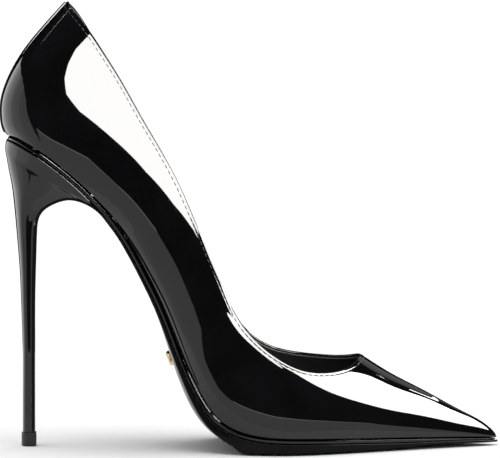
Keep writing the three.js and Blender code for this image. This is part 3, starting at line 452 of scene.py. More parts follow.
def upper_rows(C):
    p, v = column_points(C, near_rows, far_rows)
    nn = len(near_rows)
    dist = np.concatenate([near_rows, np.full(len(far_rows), 9.0)])
    outer = depth(p, v, feather_inset(p, v) + groove(dist)[None, :])
    # rim arc from the outer wall over the edge to the inner wall
    a = np.linspace(0, PI, 11)[1:-1]
    pr, vr = column_points(C, RIM * (1 - np.sin(a)), [])
    rim = depth(pr, vr, RIM * (1 - np.cos(a)))
    ji = list(range(0, nn)) + list(range(nn, p.shape[1] - 6, 2))
    pi, vi = p[:, ji], v[:, ji]
    thick = mix(.35, UT, smoothstep((.985 - pi) / .07))
    inner = depth(pi, vi, np.where(np.arange(len(ji)) < 4, np.maximum(thick, 2 * RIM * smoothstep((.985 - pi) / .07)), thick))
    # lasting margin
    pF = C["pF"]
    w = np.where(C["sign"] < 0, WL(pF), WM(pF))
    m = np.minimum(8.0, .6 * w)
    first = np.clip(C["s"] * C["L"] / 26.0, 0, 1)
    xb = float(p_of(XB + 8.0))
    # round the heel seat the margin's inner edge runs on a smaller curve
    pm = np.where(first < 1, mix(xb, np.interp(26.0, C["s"] * C["L"], pF), first**2 * (2 - first)), pF)
    wm = np.interp(26.0, C["s"] * C["L"], w) - 8.0
    ym = np.where(first < 1, np.sin(first * PI / 2) * wm, np.maximum(w - m, 0))
    ym = ym * np.where(C["vF"] < 1, C["vF"], 1)
    pm = np.where(pF > .965, mix(pm, float(p_of(186)), smoothstep((pF - .965) / .035)), pm)
    sg = C["sign"]
    e0, e1 = bottom(pm, CY(pF) + sg * ym, 0), bottom(pm, CY(pF) + sg * ym, .9)
    f0 = outer[:, -1]
    mid = mix(f0, e0, .5)
    rows = [e1[:, None], e0[:, None], mid[:, None], outer[:, ::-1], rim, inner]
    return np.concatenate(rows, 1)


U = shell_ring(upper_rows, COL_L, COL_M)
nc, nr = U.shape[:2]
upper = make("upper_leather", U.reshape(-1, 3), grid_faces(nc, nr, True, True), MAT["upper"], ["upper"])

# ------------------------------------------------------------------ linings
def cad_stiff(p, t):
    a, b = 1 - smoothstep((p - .36) / .06), smoothstep((p - .70) / .05)
    return np.maximum(a, b) * (1 - smoothstep((t - .8) / .15))


def lining_rows(C):
    nr_, fr = np.array([.85, 1.2, 1.8, 2.6, NEAR]), np.concatenate([np.linspace(0, .93, 22)[1:], [.955]])
    p, v = column_points(C, nr_, fr)
    t = np.concatenate([np.full(5, 1.0), 1 - fr])[None, :]
    d1 = 1.40 + .04 * smoothstep((1 - t) / .06) + 1.18 * cad_stiff(p, np.where(t > .99, 1, t))
    d1 = d1 + 0 * p
    o = depth(p, v, d1)
    i = depth(p, v, d1 + .75)
    a = np.linspace(0, PI, 6)[1:-1]
    pr, vr = column_points(C, .85 - .3 * np.sin(a), [])
    rim = depth(pr, vr, d1[:, :1] + .375 * (1 - np.cos(a)))
    return np.concatenate([o[:, ::-1], rim, i], 1)


LCOL_L, LCOL_M = columns(TOP_L, -1, NA // 2, NB // 2, NC // 2, .90), columns(TOP_M, 1, NA // 2, NB // 2, NC // 2, .90)
LR = shell_ring(lining_rows, LCOL_L, LCOL_M)
nl, n_r = LR.shape[:2]
cut_l = int(np.searchsorted(LCOL_L["p"], .47))
cut_m = nl - cut_l
vamp = LR[cut_l : cut_m + 1]
quarter = np.concatenate([LR[cut_m:], LR[: cut_l + 1]], 0)


def open_ring(name, R, mat, replaces):
    k, n = R.shape[:2]
    faces = [tuple(f) for f in grid_faces(k, n, False, True)]
    for b in (0, (k - 1) * n):
        for i in range(n // 2 - 1):
            faces.append((b + i, b + i + 1, b + n - 2 - i, b + n - 1 - i))
    return make(name, R.reshape(-1, 3), faces, mat, replaces)


# the vamp lining stops .25 mm short of the quarter lining: a butted seam
vamp = vamp.copy()
for a, b in ((0, 1), (-1, -2)):
    dv_ = vamp[b] - vamp[a]
    vamp[a] = vamp[a] + dv_ * np.minimum(.9, .22 / np.maximum(np.linalg.norm(dv_, axis=-1, keepdims=True), 1e-6))
quarter_lining = open_ring("quarter_lining_leather", quarter, MAT["lining"], ["quarter_lining"])
vamp_lining = open_ring("vamp_lining_leather", vamp, MAT["lining"], ["vamp_lining"])


# ------------------------------------------------------------------ heel grip, back strip, stitches
def lateral_of(u):
    return np.where(u < 0, -1.0, 1.0)


v_top = TOP_L[0][1]
gu, gw = np.linspace(-1, 1, 49), np.linspace(-1, 1, 41)
UU, WW = np.meshgrid(gu, gw, indexing="ij")
round_u, round_w = UU * np.sqrt(1 - .30 * WW**4), WW * np.sqrt(1 - .30 * UU**4)
gp = np.abs(round_u) * .085
gv = mix(v_top, 1.0, .50 + .17 * round_w)
m_ = np.maximum(np.abs(UU), np.abs(WW))
swell = .78 * (1 - m_**7) * (1 - .10 * (UU**2 + WW**2))
outer_g = depth(gp, lateral_of(UU) * gv, 3.37 + 0 * gp)
inner_g = depth(gp, lateral_of(UU) * gv, 3.38 + swell)
nu_, nw_ = UU.shape
Vg = np.concatenate([outer_g.reshape(-1, 3), inner_g.reshape(-1, 3)])
Fg = np.concatenate([grid_faces(nu_, nw_)[:, ::-1], grid_faces(nu_, nw_, base=nu_ * nw_)])
grip = make("heel_grip_pad", Vg, Fg, MAT["suede"], ["heel_grip"], weld=3e-5)

# back strip, skived thin at its edges
bu = np.sin(np.linspace(-PI / 2, PI / 2, 23))
bt = mix(.012, .978, (1 - np.cos(np.linspace(0, PI, 91))) / 2)
BU, BT = np.meshgrid(bu, bt, indexing="ij")
bp = np.abs(BU) * .0112 * (1 - .25 * smoothstep((BT - .75) / .25))
bv = mix(1.0, v_top, BT)
e_ = np.clip((np.abs(BU) - .72) / .28, 0, 1)
t_ = np.clip(np.abs(BT - .5) / .5 * 1.03, 0, 1)
bd_ = .60 * np.sqrt(np.clip(1 - e_**2, 0, 1)) * np.sqrt(np.clip(1 - np.clip((t_ - .985) / .015, 0, 1) ** 2, 0, 1)) + .02
bo = depth(bp, lateral_of(BU) * bv, -bd_)
bi = depth(bp, lateral_of(BU) * bv, .02 + 0 * bp)
na_, nb_ = BU.shape
Vb = np.concatenate([bo.reshape(-1, 3), bi.reshape(-1, 3)])
Fb = [tuple(f) for f in np.concatenate([grid_faces(na_, nb_), grid_faces(na_, nb_, base=na_ * nb_)[:, ::-1]])]
off = na_ * nb_
edge = [i * nb_ for i in range(na_)] + [(na_ - 1) * nb_ + j for j in range(1, nb_)] + [i * nb_ + nb_ - 1 for i in range(na_ - 2, -1, -1)] + list(range(nb_ - 2, 0, -1))
for a_, b_ in zip(edge, edge[1:] + edge[:1]):
    Fb.append((a_, b_, b_ + off, a_ + off))
make("back_strip", Vb, Fb, MAT["trim"], ["back_stay"], weld=2e-6)

# stitches: short threads, each end sinking into the leather
SV, SF = [], []
for C in (COL_L, COL_M):
    sg = C["sign"]
    pl, vl_ = column_points(C, [1.7, 1.95], [])
    P0, P1 = depth(pl[:, 0], vl_[:, 0], .06 + 0 * C["s"]), depth(pl[:, 1], vl_[:, 1], .06 + 0 * C["s"])
    N0, D0 = normal(pl[:, 0], vl_[:, 0]), unit(P1 - P0)
    arc = np.concatenate([[0], np.cumsum(np.linalg.norm(np.diff(P0, axis=0), axis=1))])
    a0 = 3.4
    n_st = int((arc[-1] - a0) / 2.5)
    pitch = (arc[-1] - a0) / n_st
    for k in range(n_st):
        q = np.linspace(-1, 1, 9)
        sa = a0 + pitch * (k + .5) + q * pitch * .395
        O = np.stack([np.interp(sa, arc, P0[:, j]) for j in range(3)], -1)
        Nn = unit(np.stack([np.interp(sa, arc, N0[:, j]) for j in range(3)], -1))
        Dn = unit(np.stack([np.interp(sa, arc, D0[:, j]) for j in range(3)], -1))
        rr = .17 * np.sqrt(np.clip(1 - q**6, .02, 1))
        sink = .20 * np.abs(q) ** 3
        th = np.linspace(0, 2 * PI, 10, endpoint=False)
        ring = O[:, None] + Nn[:, None] * (rr[:, None] * np.cos(th) + (.05 - sink)[:, None])[..., None] + Dn[:, None] * (rr[:, None] * np.sin(th))[..., None]
        base = sum(len(x) for x in SV)
        f = [tuple(x) for x in grid_faces(9, 10, False, True, base)]
        f += [tuple(base + i for i in range(10)), tuple(base + 80 + i for i in range(10))[::-1]]
        SV.append(ring.reshape(-1, 3))
        SF += f
make("topline_stitches", np.concatenate(SV), SF, MAT["thread"], ["topline_thread"], weld=1e-7)

# ------------------------------------------------------------------ sock and the pads under it
def pad_mask(x):
    return np.maximum(1 - smoothstep((x - 40) / 10), smoothstep((x - 72) / 8) * (1 - smoothstep((x - 154) / 10)))


def room(p, d):
    """Half widths (lateral, medial) free inside the lining at height d above the feather."""
    eta = np.clip(d / RH(p), 0, .98)
    c = np.sqrt(1 - eta**2)
    out = []
    for W in (WL, WM):
        wf = W(p)
        out.append((wf + (WB(p) - wf) * (1 - np.exp(-eta / SW(p)))) * c)
    t = 1.44 + 1.18 * cad_stiff(p, np.zeros_like(p)) + .75
    return out[0] - t, out[1] - t


def slab(xa, xb, low, thick, width, nx=160, ny=33, edge=1.2, end=4.0, dome=0.0, tuft=None, back=None):
    """A sheet over the feather surface with rounded edges and ends. low, thick: functions of x. width: function (p, d) -> half widths."""
    g = (1 - np.cos(np.linspace(0, PI, nx))) / 2
    x = mix(xa, xb, g)
    p = p_of(x)
    wl, wm = width(p, low(x) + thick(x) * .5)
    # ends rounded in plan
    back = back or end
    ka, kb = np.clip((x - xa) / back, 0, 1), np.clip((xb - x) / end, 0, 1)
    rnd = np.sqrt(np.clip(1 - (1 - ka) ** 2, 0, 1)) * np.sqrt(np.clip(1 - (1 - kb) ** 2, 0, 1))
    wl, wm = np.maximum(wl * rnd, .02), np.maximum(wm * rnd, .02)
    f = np.sin(np.linspace(-PI / 2, PI / 2, ny))
    y = CY(p)[:, None] + np.where(f < 0, f * wl[:, None], f * wm[:, None])
    w = np.where(f < 0, wl[:, None], wm[:, None])
    gap = (1 - np.abs(f))[None, :] * w
    ends = np.minimum(ka * back, kb * end)[:, None]
    r = np.clip(np.minimum(gap, ends) / edge, 0, 1)
    prof = np.sqrt(np.clip(1 - (1 - r) ** 2, 0, 1))
    th = thick(x)[:, None]
    mid = low(x)[:, None] + th * .5
    crown = dome * (1 - f[None, :] ** 2) * np.sqrt(np.clip(np.minimum(ka, kb)[:, None], 0, 1))
    top = mid + th * .5 * prof + crown * prof
    if tuft is not None:
        top = top + tuft(x[:, None], y) * prof
    bot = mid - th * .5 * prof
    P1, P0 = bottom(p[:, None], y, top), bottom(p[:, None], y, bot)
    n_, m2 = y.shape
    V = np.concatenate([P1.reshape(-1, 3), P0.reshape(-1, 3)])
    F = np.concatenate([grid_faces(n_, m2)[:, ::-1], grid_faces(n_, m2, base=n_ * m2)])
    return V, F


def sock_low(x):
    return 3.5 + 2.0 * pad_mask(x)


def sock_width(p, d):
    a, b = room(p, d)
    x = x_of(p)
    k = 1 - smoothstep((14 - x) / 8)
    return a - .12 - .5 * (1 - k), b - .12 - .5 * (1 - k)


def sock_relief(x, y):
    # heel cup and a shallow channel stitched round the forepart pad
    return -.28 * np.exp(-(((x - 24) / 14) ** 2 + (y / 10) ** 2)) + .22 * np.exp(-(((x - 62) / 16) ** 2)) * np.exp(-(((np.abs(y) - 9) / 6) ** 2))


V_, F_ = slab(5.5, 168.5, sock_low, lambda x: .7 + 0 * x, sock_width, 260 // K, 49, .45, 5.0, .22, sock_relief, 1.6)
make("sock_lining_leather", V_, F_, MAT["sock"], ["sock_lining"], weld=2e-5)


def pad_width(p, d):
    x = x_of(p)
    ins = 4.5 + 1.4 * smoothstep((x - 130) / 30)
    return WL(p) - ins, WM(p) - ins


for nm, xa, xb, en in (("heel_cushion", 7.8, 41.8, 12.0), ("forepart_cushion", 89.2, 147.8, 10.0)):
    V_, F_ = slab(xa, xb, lambda x: 3.5 + 0 * x, lambda x: 1.62 + 0 * x, pad_width, 110 // K, 37, 2.2, en, .06)
    o = make(nm + "_foam", V_, F_, MAT["foam"], [nm], weld=2e-5)

# ------------------------------------------------------------------ rand: the covered strip between the upper and the sole
def plan_curve(sign, inset, n):
    """The feather outline moved inwards, from the centre back to where the two sides meet at the toe: (x, y offset from the centre line)."""
    p = np.linspace(0, 1, 3001)
    W = WL if sign < 0 else WM
    x, y = x_of(p), W(p)
    dx, dy = np.gradient(x, p), np.gradient(y, p)
    l = np.hypot(dx, dy)
    xo, yo = x + dy / l * inset, y - dx / l * inset
    bad = np.nonzero(yo[100:] < 0)[0]
    e = 100 + bad[0] if len(bad) else len(yo) - 1
    xo, yo = xo[: e + 1], np.maximum(yo[: e + 1], 0)
    yo[-1] = 0
    yo[0] = 0
    s = np.concatenate([[0], np.cumsum(np.hypot(np.diff(xo), np.diff(yo)))])
    g = np.linspace(0, 1, n)
    g = g + .045 * np.sin(2 * PI * g) * -1
    g = mix(g, g**1.0, 0)
    return np.interp(g * s[-1], s, xo), np.interp(g * s[-1], s, yo)


def rand_t(x):
    return mix(1.3, .5, smoothstep((x - 150) / 38))


def rand_side(sign, n):
    xo, yo = plan_curve(sign, .42, n)
    xi, yi = plan_curve(sign, 5.5, n)
    k = smoothstep((xo - 165) / 22)
    xi = mix(xi, xo - 3.0 * smoothstep((xo - 180) / 12), k)
    yi = mix(yi, yo * .42, k)
    yi[-1] = 0
    d1 = -.3 - .35 * (1 - smoothstep((xo - 4) / 10))
    d2 = -.3 - rand_t(xo)
    h = (d1 - d2) / 2
    out = []
    for a in np.linspace(PI / 2, -PI / 2, 9):
        c, s = math.cos(a), math.sin(a)
        r = np.minimum(h, .42)
        # rounded edge: quarter arcs joined by a short flat
        t = r * (1 - c) / np.maximum(np.hypot(xo - xi, yo - yi), .5)
        x, y = mix(xo, xi, t), mix(yo, yi, t)
        d = np.where(s > 0, d1 - r + r * s, d2 + r + r * s)
        out.append(bottom(p_of(x), CY(p_of(x)) + sign * y, d))
    out.append(bottom(p_of(xi), CY(p_of(xi)) + sign * yi, d2))
    out.append(bottom(p_of(xi), CY(p_of(xi)) + sign * yi, d1))
    return np.stack(out, 1)


nR = 240 // K
RL, RM = rand_side(-1, nR), rand_side(1, nR)
RL[0], RL[-1] = (RL[0] + RM[0]) / 2, (RL[-1] + RM[-1]) / 2
V_, F_ = loft(np.concatenate([RL, RM[::-1][1:-1]]), close=True)
make("rand_strip", V_, F_, MAT["trim"], ["rand"])

# ------------------------------------------------------------------ outsole with its breast flap
BREAST = np.array([[38.4, 91.7, 18.3], [33.9, 95, 17.8], [30.5, 96.4, 17.0], [26.4, 97, 16.0], [22.8, 96.2, 14.9], [19.5, 94.7, 13.7], [17.0, 92.9, 12.5], [15.3, 90.6, 11.3], [14.3, 87.4, 10.0], [13.8, 81.5, 8.5], [13.45, 70, 6.6], [13.15, 57, 5.3], [13.13, 40, 4.3], [13.12, 24, 3.7], [13.1, 5.6, 3.3]])
SOLE_EDGE = np.array([[36, 2.9], [54, 2.9], [65.6, 3.1], [69.2, 3.3], [73.7, 3.6], [77.7, 4.0], [81.2, 4.4], [85.6, 4.9], [90.1, 5.6], [93, 6.2], [95, 6.6]])
SOLE_MID = np.array([[36, 3.0], [45, 3.0], [54, 3.0], [61.2, 3.1], [65.6, 3.6], [69.2, 4.3], [73.7, 5.2], [77.7, 5.8], [81.2, 6.0], [85.6, 6.1], [90.1, 6.4], [93, 7.0], [95, 7.5]])
SPRING = np.array([[96, 0], [150, 0], [158, .35], [168, .95], [180, 1.2], [192.3, 1.3]])


def smooth_line(T, x, w=2.0):
    g = np.linspace(T[0, 0] - 10, T[-1, 0] + 10, 1200)
    y = np.interp(g, T[:, 0], T[:, 1])
    k = np.arange(-3 * w, 3 * w + 1e-9, g[1] - g[0])
    ker = np.exp(-.5 * (k / w) ** 2)
    y = np.convolve(np.pad(y, len(k) // 2, "edge"), ker / ker.sum(), "valid")[: len(g)]
    return np.interp(x, g, y)


def sole_top(x):
    return -(.6 + rand_t(x))


def bottom_nz(p):
    q = np.clip(p, .004, .996)
    dx, dz = x_of(q + 2e-3) - x_of(q - 2e-3), ZF(q + 2e-3) - ZF(q - 2e-3)
    return dx / np.hypot(dx, dz)


R1, R2 = .22, .5
arc1, arc2 = np.linspace(0, PI / 2, 5), np.linspace(0, PI / 2, 7)
f_bot = np.sin(np.linspace(PI / 2, -PI / 2, 31))


def sole_ring(place, yl, yr, cy, t_edge, t_fun):
    """Ring of one section. place(y, t): point at y and t below the top face. yl, yr: half widths. t_edge: thickness at the edge."""
    pts = []
    for f in np.linspace(-.9, .9, 5):
        pts.append(place(cy + f * (yl if f < 0 else yr), 0.0))
    r1, r2 = min(R1, .3 * t_edge, .4 * yr), min(R2, .55 * t_edge, .5 * yr)
    for a in arc1:
        pts.append(place(cy + yr - r1 + r1 * math.sin(a), r1 * (1 - math.cos(a))))
    for a in arc2:
        pts.append(place(cy + yr - r2 + r2 * math.cos(a), t_edge - r2 + r2 * math.sin(a)))
    for f in f_bot[1:-1]:
        w = (yr - r2) if f > 0 else (yl - r2)
        pts.append(place(cy + f * w, t_fun(f)))
    for a in arc2[::-1]:
        pts.append(place(cy - (yl - r2 + r2 * math.cos(a)), t_edge - r2 + r2 * math.sin(a)))
    for a in arc1[::-1]:
        pts.append(place(cy - (yl - r1 + r1 * math.sin(a)), r1 * (1 - math.cos(a))))
    return np.array(pts)


def sole_dims(x):
    """Station, edge and middle thickness below the feather surface, and the z part of the feather line's normal, at x.
    """
    p = float(p_of(x))
    nz, zf = float(bottom_nz(p)), float(ZF(p))
    z = float(smooth_line(SPRING, x, 1.5)) if x > 120 else 0.0
    lift = mix(.8, .0, float(smoothstep((x - 168) / 20)))
    ef, mf = (zf - z - lift) / nz, (zf - z) / nz
    eb, mb = float(smooth_line(SOLE_EDGE, x, 1.6)), float(smooth_line(SOLE_MID, x, 1.6))
    k = float(smoothstep((x - 91.5) / 5))
    return p, mix(eb, ef, k), mix(mb, mf, k), nz


def sole_station(x):
    p, De, Dm, nz = sole_dims(x)
    top = float(sole_top(x))
    grow = mix(.5, -.15, float(smoothstep((x - 60) / 25)))
    yl, yr = max(float(WL(p)) - grow, .35), max(float(WM(p)) - grow, .35)
    te, tm = De + top, Dm + top

    def tf(f):
        a = min(max((abs(f) - .35) / .65, 0), 1) ** 2.85
        return mix(tm, te, a)

    def place(y, t):
        q = bottom(p, y, top - t)
        q = np.array(q)
        if x > 96:
            q[2] = max(q[2], 0.0)
        return q

    return sole_ring(place, yl, yr, float(CY(p)), te, tf)


rings = []
xs = [191.9, 191.2, 190.4, 189.4] + list(np.linspace(188, 100, 92 // K)) + list(np.linspace(99, 50, 78 // K))
tip = sole_station(191.2)
c_tip = tip.mean(0)
for g_, k_ in ((192.72, .18), (192.6, .45), (192.35, .72)):
    t2 = tip.copy()
    t2[:, 0] = g_ - (c_tip[0] - tip[:, 0]) * .2
    t2[:, 1] = c_tip[1] + (tip[:, 1] - c_tip[1]) * k_
    t2[:, 2] = c_tip[2] + .05 + (tip[:, 2] - c_tip[2]) * (.62 + .38 * k_)
    rings.append(t2)
for x in xs:
    rings.append(sole_station(float(x)))
# breast: one smooth line from the waist over the arch of the breast and down the heel
keys = []
for x in (58.0, 54.0, 50.0, 46.5, 43.5):
    p, De, Dm, nz = sole_dims(x)
    q = np.array(bottom(p, 0.0, -Dm))
    keys.append([q[0], q[2], float(WL(p)) - .5, float(WM(p)) - .5, Dm + float(sole_top(x))])
for b in BREAST:
    keys.append([b[0], b[1], b[2], b[2], 1.25])
keys = np.array(keys)
cs = np.concatenate([[0], np.cumsum(np.hypot(np.diff(keys[:, 0]), np.diff(keys[:, 1])))])
KX, KZ, KL, KR, KT = (Spline(cs, keys[:, j]) for j in range(5))
sb = np.concatenate([np.linspace(cs[2], cs[13], 92 // K)[1:], np.linspace(cs[13], cs[-1], 46 // K)[1:]])


def breast_at(s):
    """(outer point x, z, direction towards the heel x, z) at length s."""
    e = .25
    s1, s2 = min(s + e, cs[-1]), max(s - e, 0)
    dx, dz = float(KX(s1) - KX(s2)), float(KZ(s1) - KZ(s2))
    l = math.hypot(dx, dz)
    n = (dz / l, -dx / l)
    if s > cs[-1] - .3:
        n = (-1.0, 0.0)
    return float(KX(s)), float(KZ(s)), n


for s in sb:
    X, Z, n = breast_at(float(s))
    T = float(KT(s))

    def place(y, t, X=X, Z=Z, n=n, T=T):
        return np.array([X + n[0] * (T - t), y, Z + n[1] * (T - t)])

    rings.append(sole_ring(place, float(KL(s)), float(KR(s)), 0.0, T - .12, lambda f, T=T: T - .12 * f**4))
V_, F_ = loft(np.array(rings))
make("outsole_leather", V_, F_, MAT["sole"], ["outsole"], angle=60)

# ------------------------------------------------------------------ heel cover, top piece
BACK_EDGE = np.array([[118.9, 1.3], [116.2, 1.55], [113.2, 1.95], [110, 2.5], [106.5, 3.15], [102.7, 3.9], [98.5, 4.5], [94, 5.0], [88.5, 5.5], [80.5, 6.2], [69, 7.1], [56, 7.65], [40, 8.15], [24, 8.2], [5.6, 8.2]])
HEEL_W = np.array([20.6, 19.9, 19.0, 18.0, 16.9, 15.7, 14.4, 13.1, 11.7, 10.0, 7.9, 6.1, 4.8, 4.1, 3.7])
th_ = np.linspace(0, PI / 2, 34)
uu_ = np.concatenate([.44 * (1 - np.cos(th_)), np.linspace(.44, 1, 26)[1:]])


def girth(u):
    return np.where(u < .44, np.sqrt(np.clip(1 - (1 - u / .44) ** 2, 0, 1)), mix(1, .9, smoothstep((u - .44) / .56)))


def heel_stations(d):
    """Lateral and medial points [station, u, 3] at the given stations, d under the outer face."""
    L, Mm = [], []
    cl = np.interp(np.arange(15), np.arange(15), cs[5:])
    for k in range(15):
        if k == 0:
            x = mix(1.4 + d, 35.6, uu_)
            xs_ = 2.1 + (x - 1.4) * 33.5 / 34.2
            p = p_of(xs_)
            top = sole_top(xs_) - .05 * smoothstep((uu_ - .85) / .15)
            wl, wm = np.maximum(WL(p) - .45 - d, 0) * 1.0, np.maximum(WM(p) - .45 - d, 0)
            wl[0] = wm[0] = 0
            sh = (x - xs_)[:, None] * np.array([1.0, 0, 0])
            L.append(bottom(p, -wl, top) + sh)
            Mm.append(bottom(p, wm, top) + sh)
            continue
        X, Z, n = breast_at(float(cl[k]))
        xc, zc = X + n[0] * 1.33, Z + n[1] * 1.33
        zb, xb = BACK_EDGE[k]
        l = math.hypot(xc - xb, zc - zb)
        u2 = mix(d / l, 1, uu_)
        # near the seat the section keeps the seat's outline, further down it is rounder
        kk = smoothstep((k - .5) / 7.5)
        for W, out, sg in ((WL, L, -1), (WM, Mm, 1)):
            seat_w = np.maximum(W(p_of(2.1 + uu_ * 33.5)), 0)
            seat_w = seat_w / seat_w.max()
            y = mix(seat_w, girth(uu_), kk) * (HEEL_W[k] - d)
            y[0] = 0
            out.append(np.stack([mix(xb, xc, u2), sg * y, mix(zb, zc, u2)], -1))
    return np.array(L), np.array(Mm)


def along(P, n):
    """Smooth curves through the stations for every point of the section."""
    t = np.concatenate([[0], np.cumsum(np.hypot(np.diff(BACK_EDGE[:, 0]), np.diff(BACK_EDGE[:, 1])))])
    g = np.unique(np.concatenate([np.linspace(0, t[9], int(n * .68)), np.linspace(t[9], t[-1], int(n * .34))]))
    out = np.zeros((len(g),) + P.shape[1:])
    for i in range(P.shape[1]):
        for c in range(3):
            out[:, i, c] = Spline(t, P[:, i, c])(g)
    out[:, 0, 1] = 0
    return out


nH = 130 // K
(aL, aM), (bL, bM) = heel_stations(0.0), heel_stations(.5)
aL, aM, bL, bM = (along(q, nH) for q in (aL, aM, bL, bM))
# the top edge of the cover is turned over in a small round
lead = []
for a_ in np.linspace(0, PI / 2, 6)[:-1]:
    k_ = 1 - math.sin(a_)
    drop = np.array([0, 0, .42 * (1 - math.cos(a_))])
    lead.append([mix(o_[0], i_[0], .98 * k_ * .8) - drop * (0 if e_ else 1) + np.array([0, 0, 0]) for o_, i_, e_ in ((aL, bL, 0), (aM, bM, 0), (bL, bL, 1), (bM, bM, 1))])
body0 = [a_[0] - np.array([0, 0, .42]) for a_ in (aL, aM)]


def rounded(o_, j):
    """Station rows of one side with the turned edge put in front; rows that would lie above it are lowered."""
    rows = [q[j] for q in lead]
    rest = o_.copy()
    z0 = rest[0, :, 2] - .42
    for r_ in range(len(rest)):
        rest[r_, :, 2] = np.minimum(rest[r_, :, 2], z0)
        if r_ > 8:
            break
    return np.concatenate([np.array(rows), rest])


def under(o_, j):
    rows = [q[j] for q in lead]
    return np.concatenate([np.array(rows), o_])


aL, aM, bL, bM = rounded(aL, 0), rounded(aM, 1), under(bL, 2), under(bM, 3)
HC = np.concatenate([aL[:, ::-1], aM[:, 1:], bM[:, ::-1][:, :-1], bL], 1)
V_, F_ = loft(HC)
make("heel_cover_patent", V_, F_, MAT["heel"], ["heel_cover"], angle=50)

# the moulded core that carries the cover
cL, cM = (along(q, nH) for q in heel_stations(.62))
core = np.concatenate([cL[:, ::-1], cM[:, 1:]], 1)
V_, F_ = loft(core, caps=False)
nc_ = core.shape[1]
F_ = list(F_) + [tuple(range(nc_))[::-1], tuple((len(core) - 1) * nc_ + i for i in range(nc_))]
make("heel_core_moulding", V_, F_, MAT["plastic"], ["heel_core"], angle=50)

levels = [(0.0, .42), (.07, .24), (.22, .09), (.45, 0.0), (2.4, -.03), (4.5, 0.0), (4.72, .03), (4.8, .14), (4.92, .14), (5.0, .03), (5.14, .05), (5.26, .14), (5.3, .3)]
TP = []
for z, d in levels:
    x = mix(7.75 + d, 13.5 - d, uu_)
    y = girth(uu_) * (3.9 - d)
    y[0] = 0
    corner = np.clip((uu_ - .93) / .07, 0, 1)
    y = y - .35 * (1 - np.sqrt(np.clip(1 - corner**2, 0, 1)))
    a, b = np.stack([x, -y, z + 0 * x], -1), np.stack([x, y, z + 0 * x], -1)
    TP.append(np.concatenate([a, b[1:][::-1]]))
TP = np.array(TP)
n_tp = TP.shape[1]
F_ = [tuple(f) for f in grid_faces(len(levels), n_tp, False, True)]
V_ = TP.reshape(-1, 3)
for k in (0, len(levels) - 1):  # faces across the two ends
    b0 = k * n_tp
    m = len(uu_)
    for i in range(m - 1):
        j, j2 = (n_tp - i) % n_tp, n_tp - i - 1
        F_.append((b0 + i, b0 + i + 1, b0 + j2, b0 + j) if i else (b0, b0 + 1, b0 + n_tp - 1))
make("heel_tip", V_, F_, MAT["tip"], ["top_piece"], angle=40)

# ------------------------------------------------------------------ plain metal plate under the waist
pc = float(p_of(70.4))
nz_ = float(bottom_nz(pc))
nx_ = math.sqrt(1 - nz_**2)
mid_d = float(sole_dims(70.4)[2])
ring_n = 28
PR = []
for y, g_ in [(s_ * w, q) for s_, w, q in ((-1, 6, .30), (-1, 5.93, .62), (-1, 5.75, .86), (-1, 5.4, 1.0), (-1, 3.6, 1.0), (-1, 1.2, 1.0), (1, 1.2, 1.0), (1, 3.6, 1.0), (1, 5.4, 1.0), (1, 5.75, .86), (1, 5.93, .62), (1, 6, .30))]:
    row = []
    for a in np.linspace(0, 2 * PI, ring_n, endpoint=False):
        c, s = math.cos(a), math.sin(a)
        ca, sa = math.copysign(abs(c) ** .38, c), math.copysign(abs(s) ** .38, s)
        al, t = 2.4 * ca * (1 - .14 * (1 - g_)), .02 + .84 * (1 + sa) * mix(.55, 1, g_)
        q = np.array(bottom(pc, y, -(mid_d + t - .02)))
        row.append(q + np.array([nz_ * al, 0, -nx_ * al]))
    PR.append(row)
V_, F_ = loft(np.array(PR), caps=False)
F_ = list(F_) + [tuple(range(ring_n)), tuple((len(PR) - 1) * ring_n + i for i in range(ring_n))[::-1]]
make("waist_plate", V_, F_, MAT["brass"], ["sole_plate"], angle=50)

# ------------------------------------------------------------------ finishes of the CAD parts that stay
KEEP = dict(heel_counter="stiffener", toe_puff="stiffener", insole_board="board", shank="steel", shank_rivet_1="steel", shank_rivet_2="steel", forepart_filler="stiffener", plate_pin_1="brass", plate_pin_2="brass", heel_dowel="steel", top_piece_pin="steel", heel_screw="steel", heel_nail_1="steel", heel_nail_2="steel", heel_nail_3="steel", heel_nail_4="steel")
for nm, mt in KEEP.items():
    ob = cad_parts[nm]
    for sl in ob.material_slots:
        sl.material = MAT[mt]

# ------------------------------------------------------------------ camera, floor and light
scene = bpy.context.scene
cam_data = bpy.data.cameras.new("camera")
cam = bpy.data.objects.new("camera", cam_data)
scene.collection.objects.link(cam)
ELEV = math.radians(5.6)
DIST = 6.0
target = Vector(metres([96.5, 0, 84.5]))
view_dir = Vector((0, math.cos(ELEV), -math.sin(ELEV)))
cam.location = target - view_dir * DIST
cam.rotation_mode = "QUATERNION"
cam.rotation_quaternion = view_dir.to_track_quat("-Z", "Y")
cam_data.sensor_width = 36
cam_data.lens = 36 * DIST / .194
cam_data.clip_start, cam_data.clip_end = .05, 100
scene.camera = cam

world = bpy.data.worlds.new("studio")
scene.world = world
world.use_nodes = True
wt = world.node_tree
bg = wt.nodes["Background"]
lp = wt.nodes.new("ShaderNodeLightPath")
bg2 = wt.nodes.new("ShaderNodeBackground")
mx = wt.nodes.new("ShaderNodeMixShader")
bg.inputs["Color"].default_value = (.012, .012, .012, 1)
bg2.inputs["Color"].default_value = (1, 1, 1, 1)
either = wt.nodes.new("ShaderNodeMath")
either.operation = "MAXIMUM"
wt.links.new(lp.outputs["Is Camera Ray"], either.inputs[0])
wt.links.new(lp.outputs["Is Diffuse Ray"], either.inputs[1])
wt.links.new(either.outputs[0], mx.inputs["Fac"])
lift = wt.nodes.new("ShaderNodeMath")
lift.operation = "MULTIPLY_ADD"
lift.inputs[1].default_value, lift.inputs[2].default_value = .52, .6
wt.links.new(lp.outputs["Is Camera Ray"], lift.inputs[0])
wt.links.new(lift.outputs[0], bg2.inputs["Strength"])
sun_data = bpy.data.lights.new("overhead", "SUN")
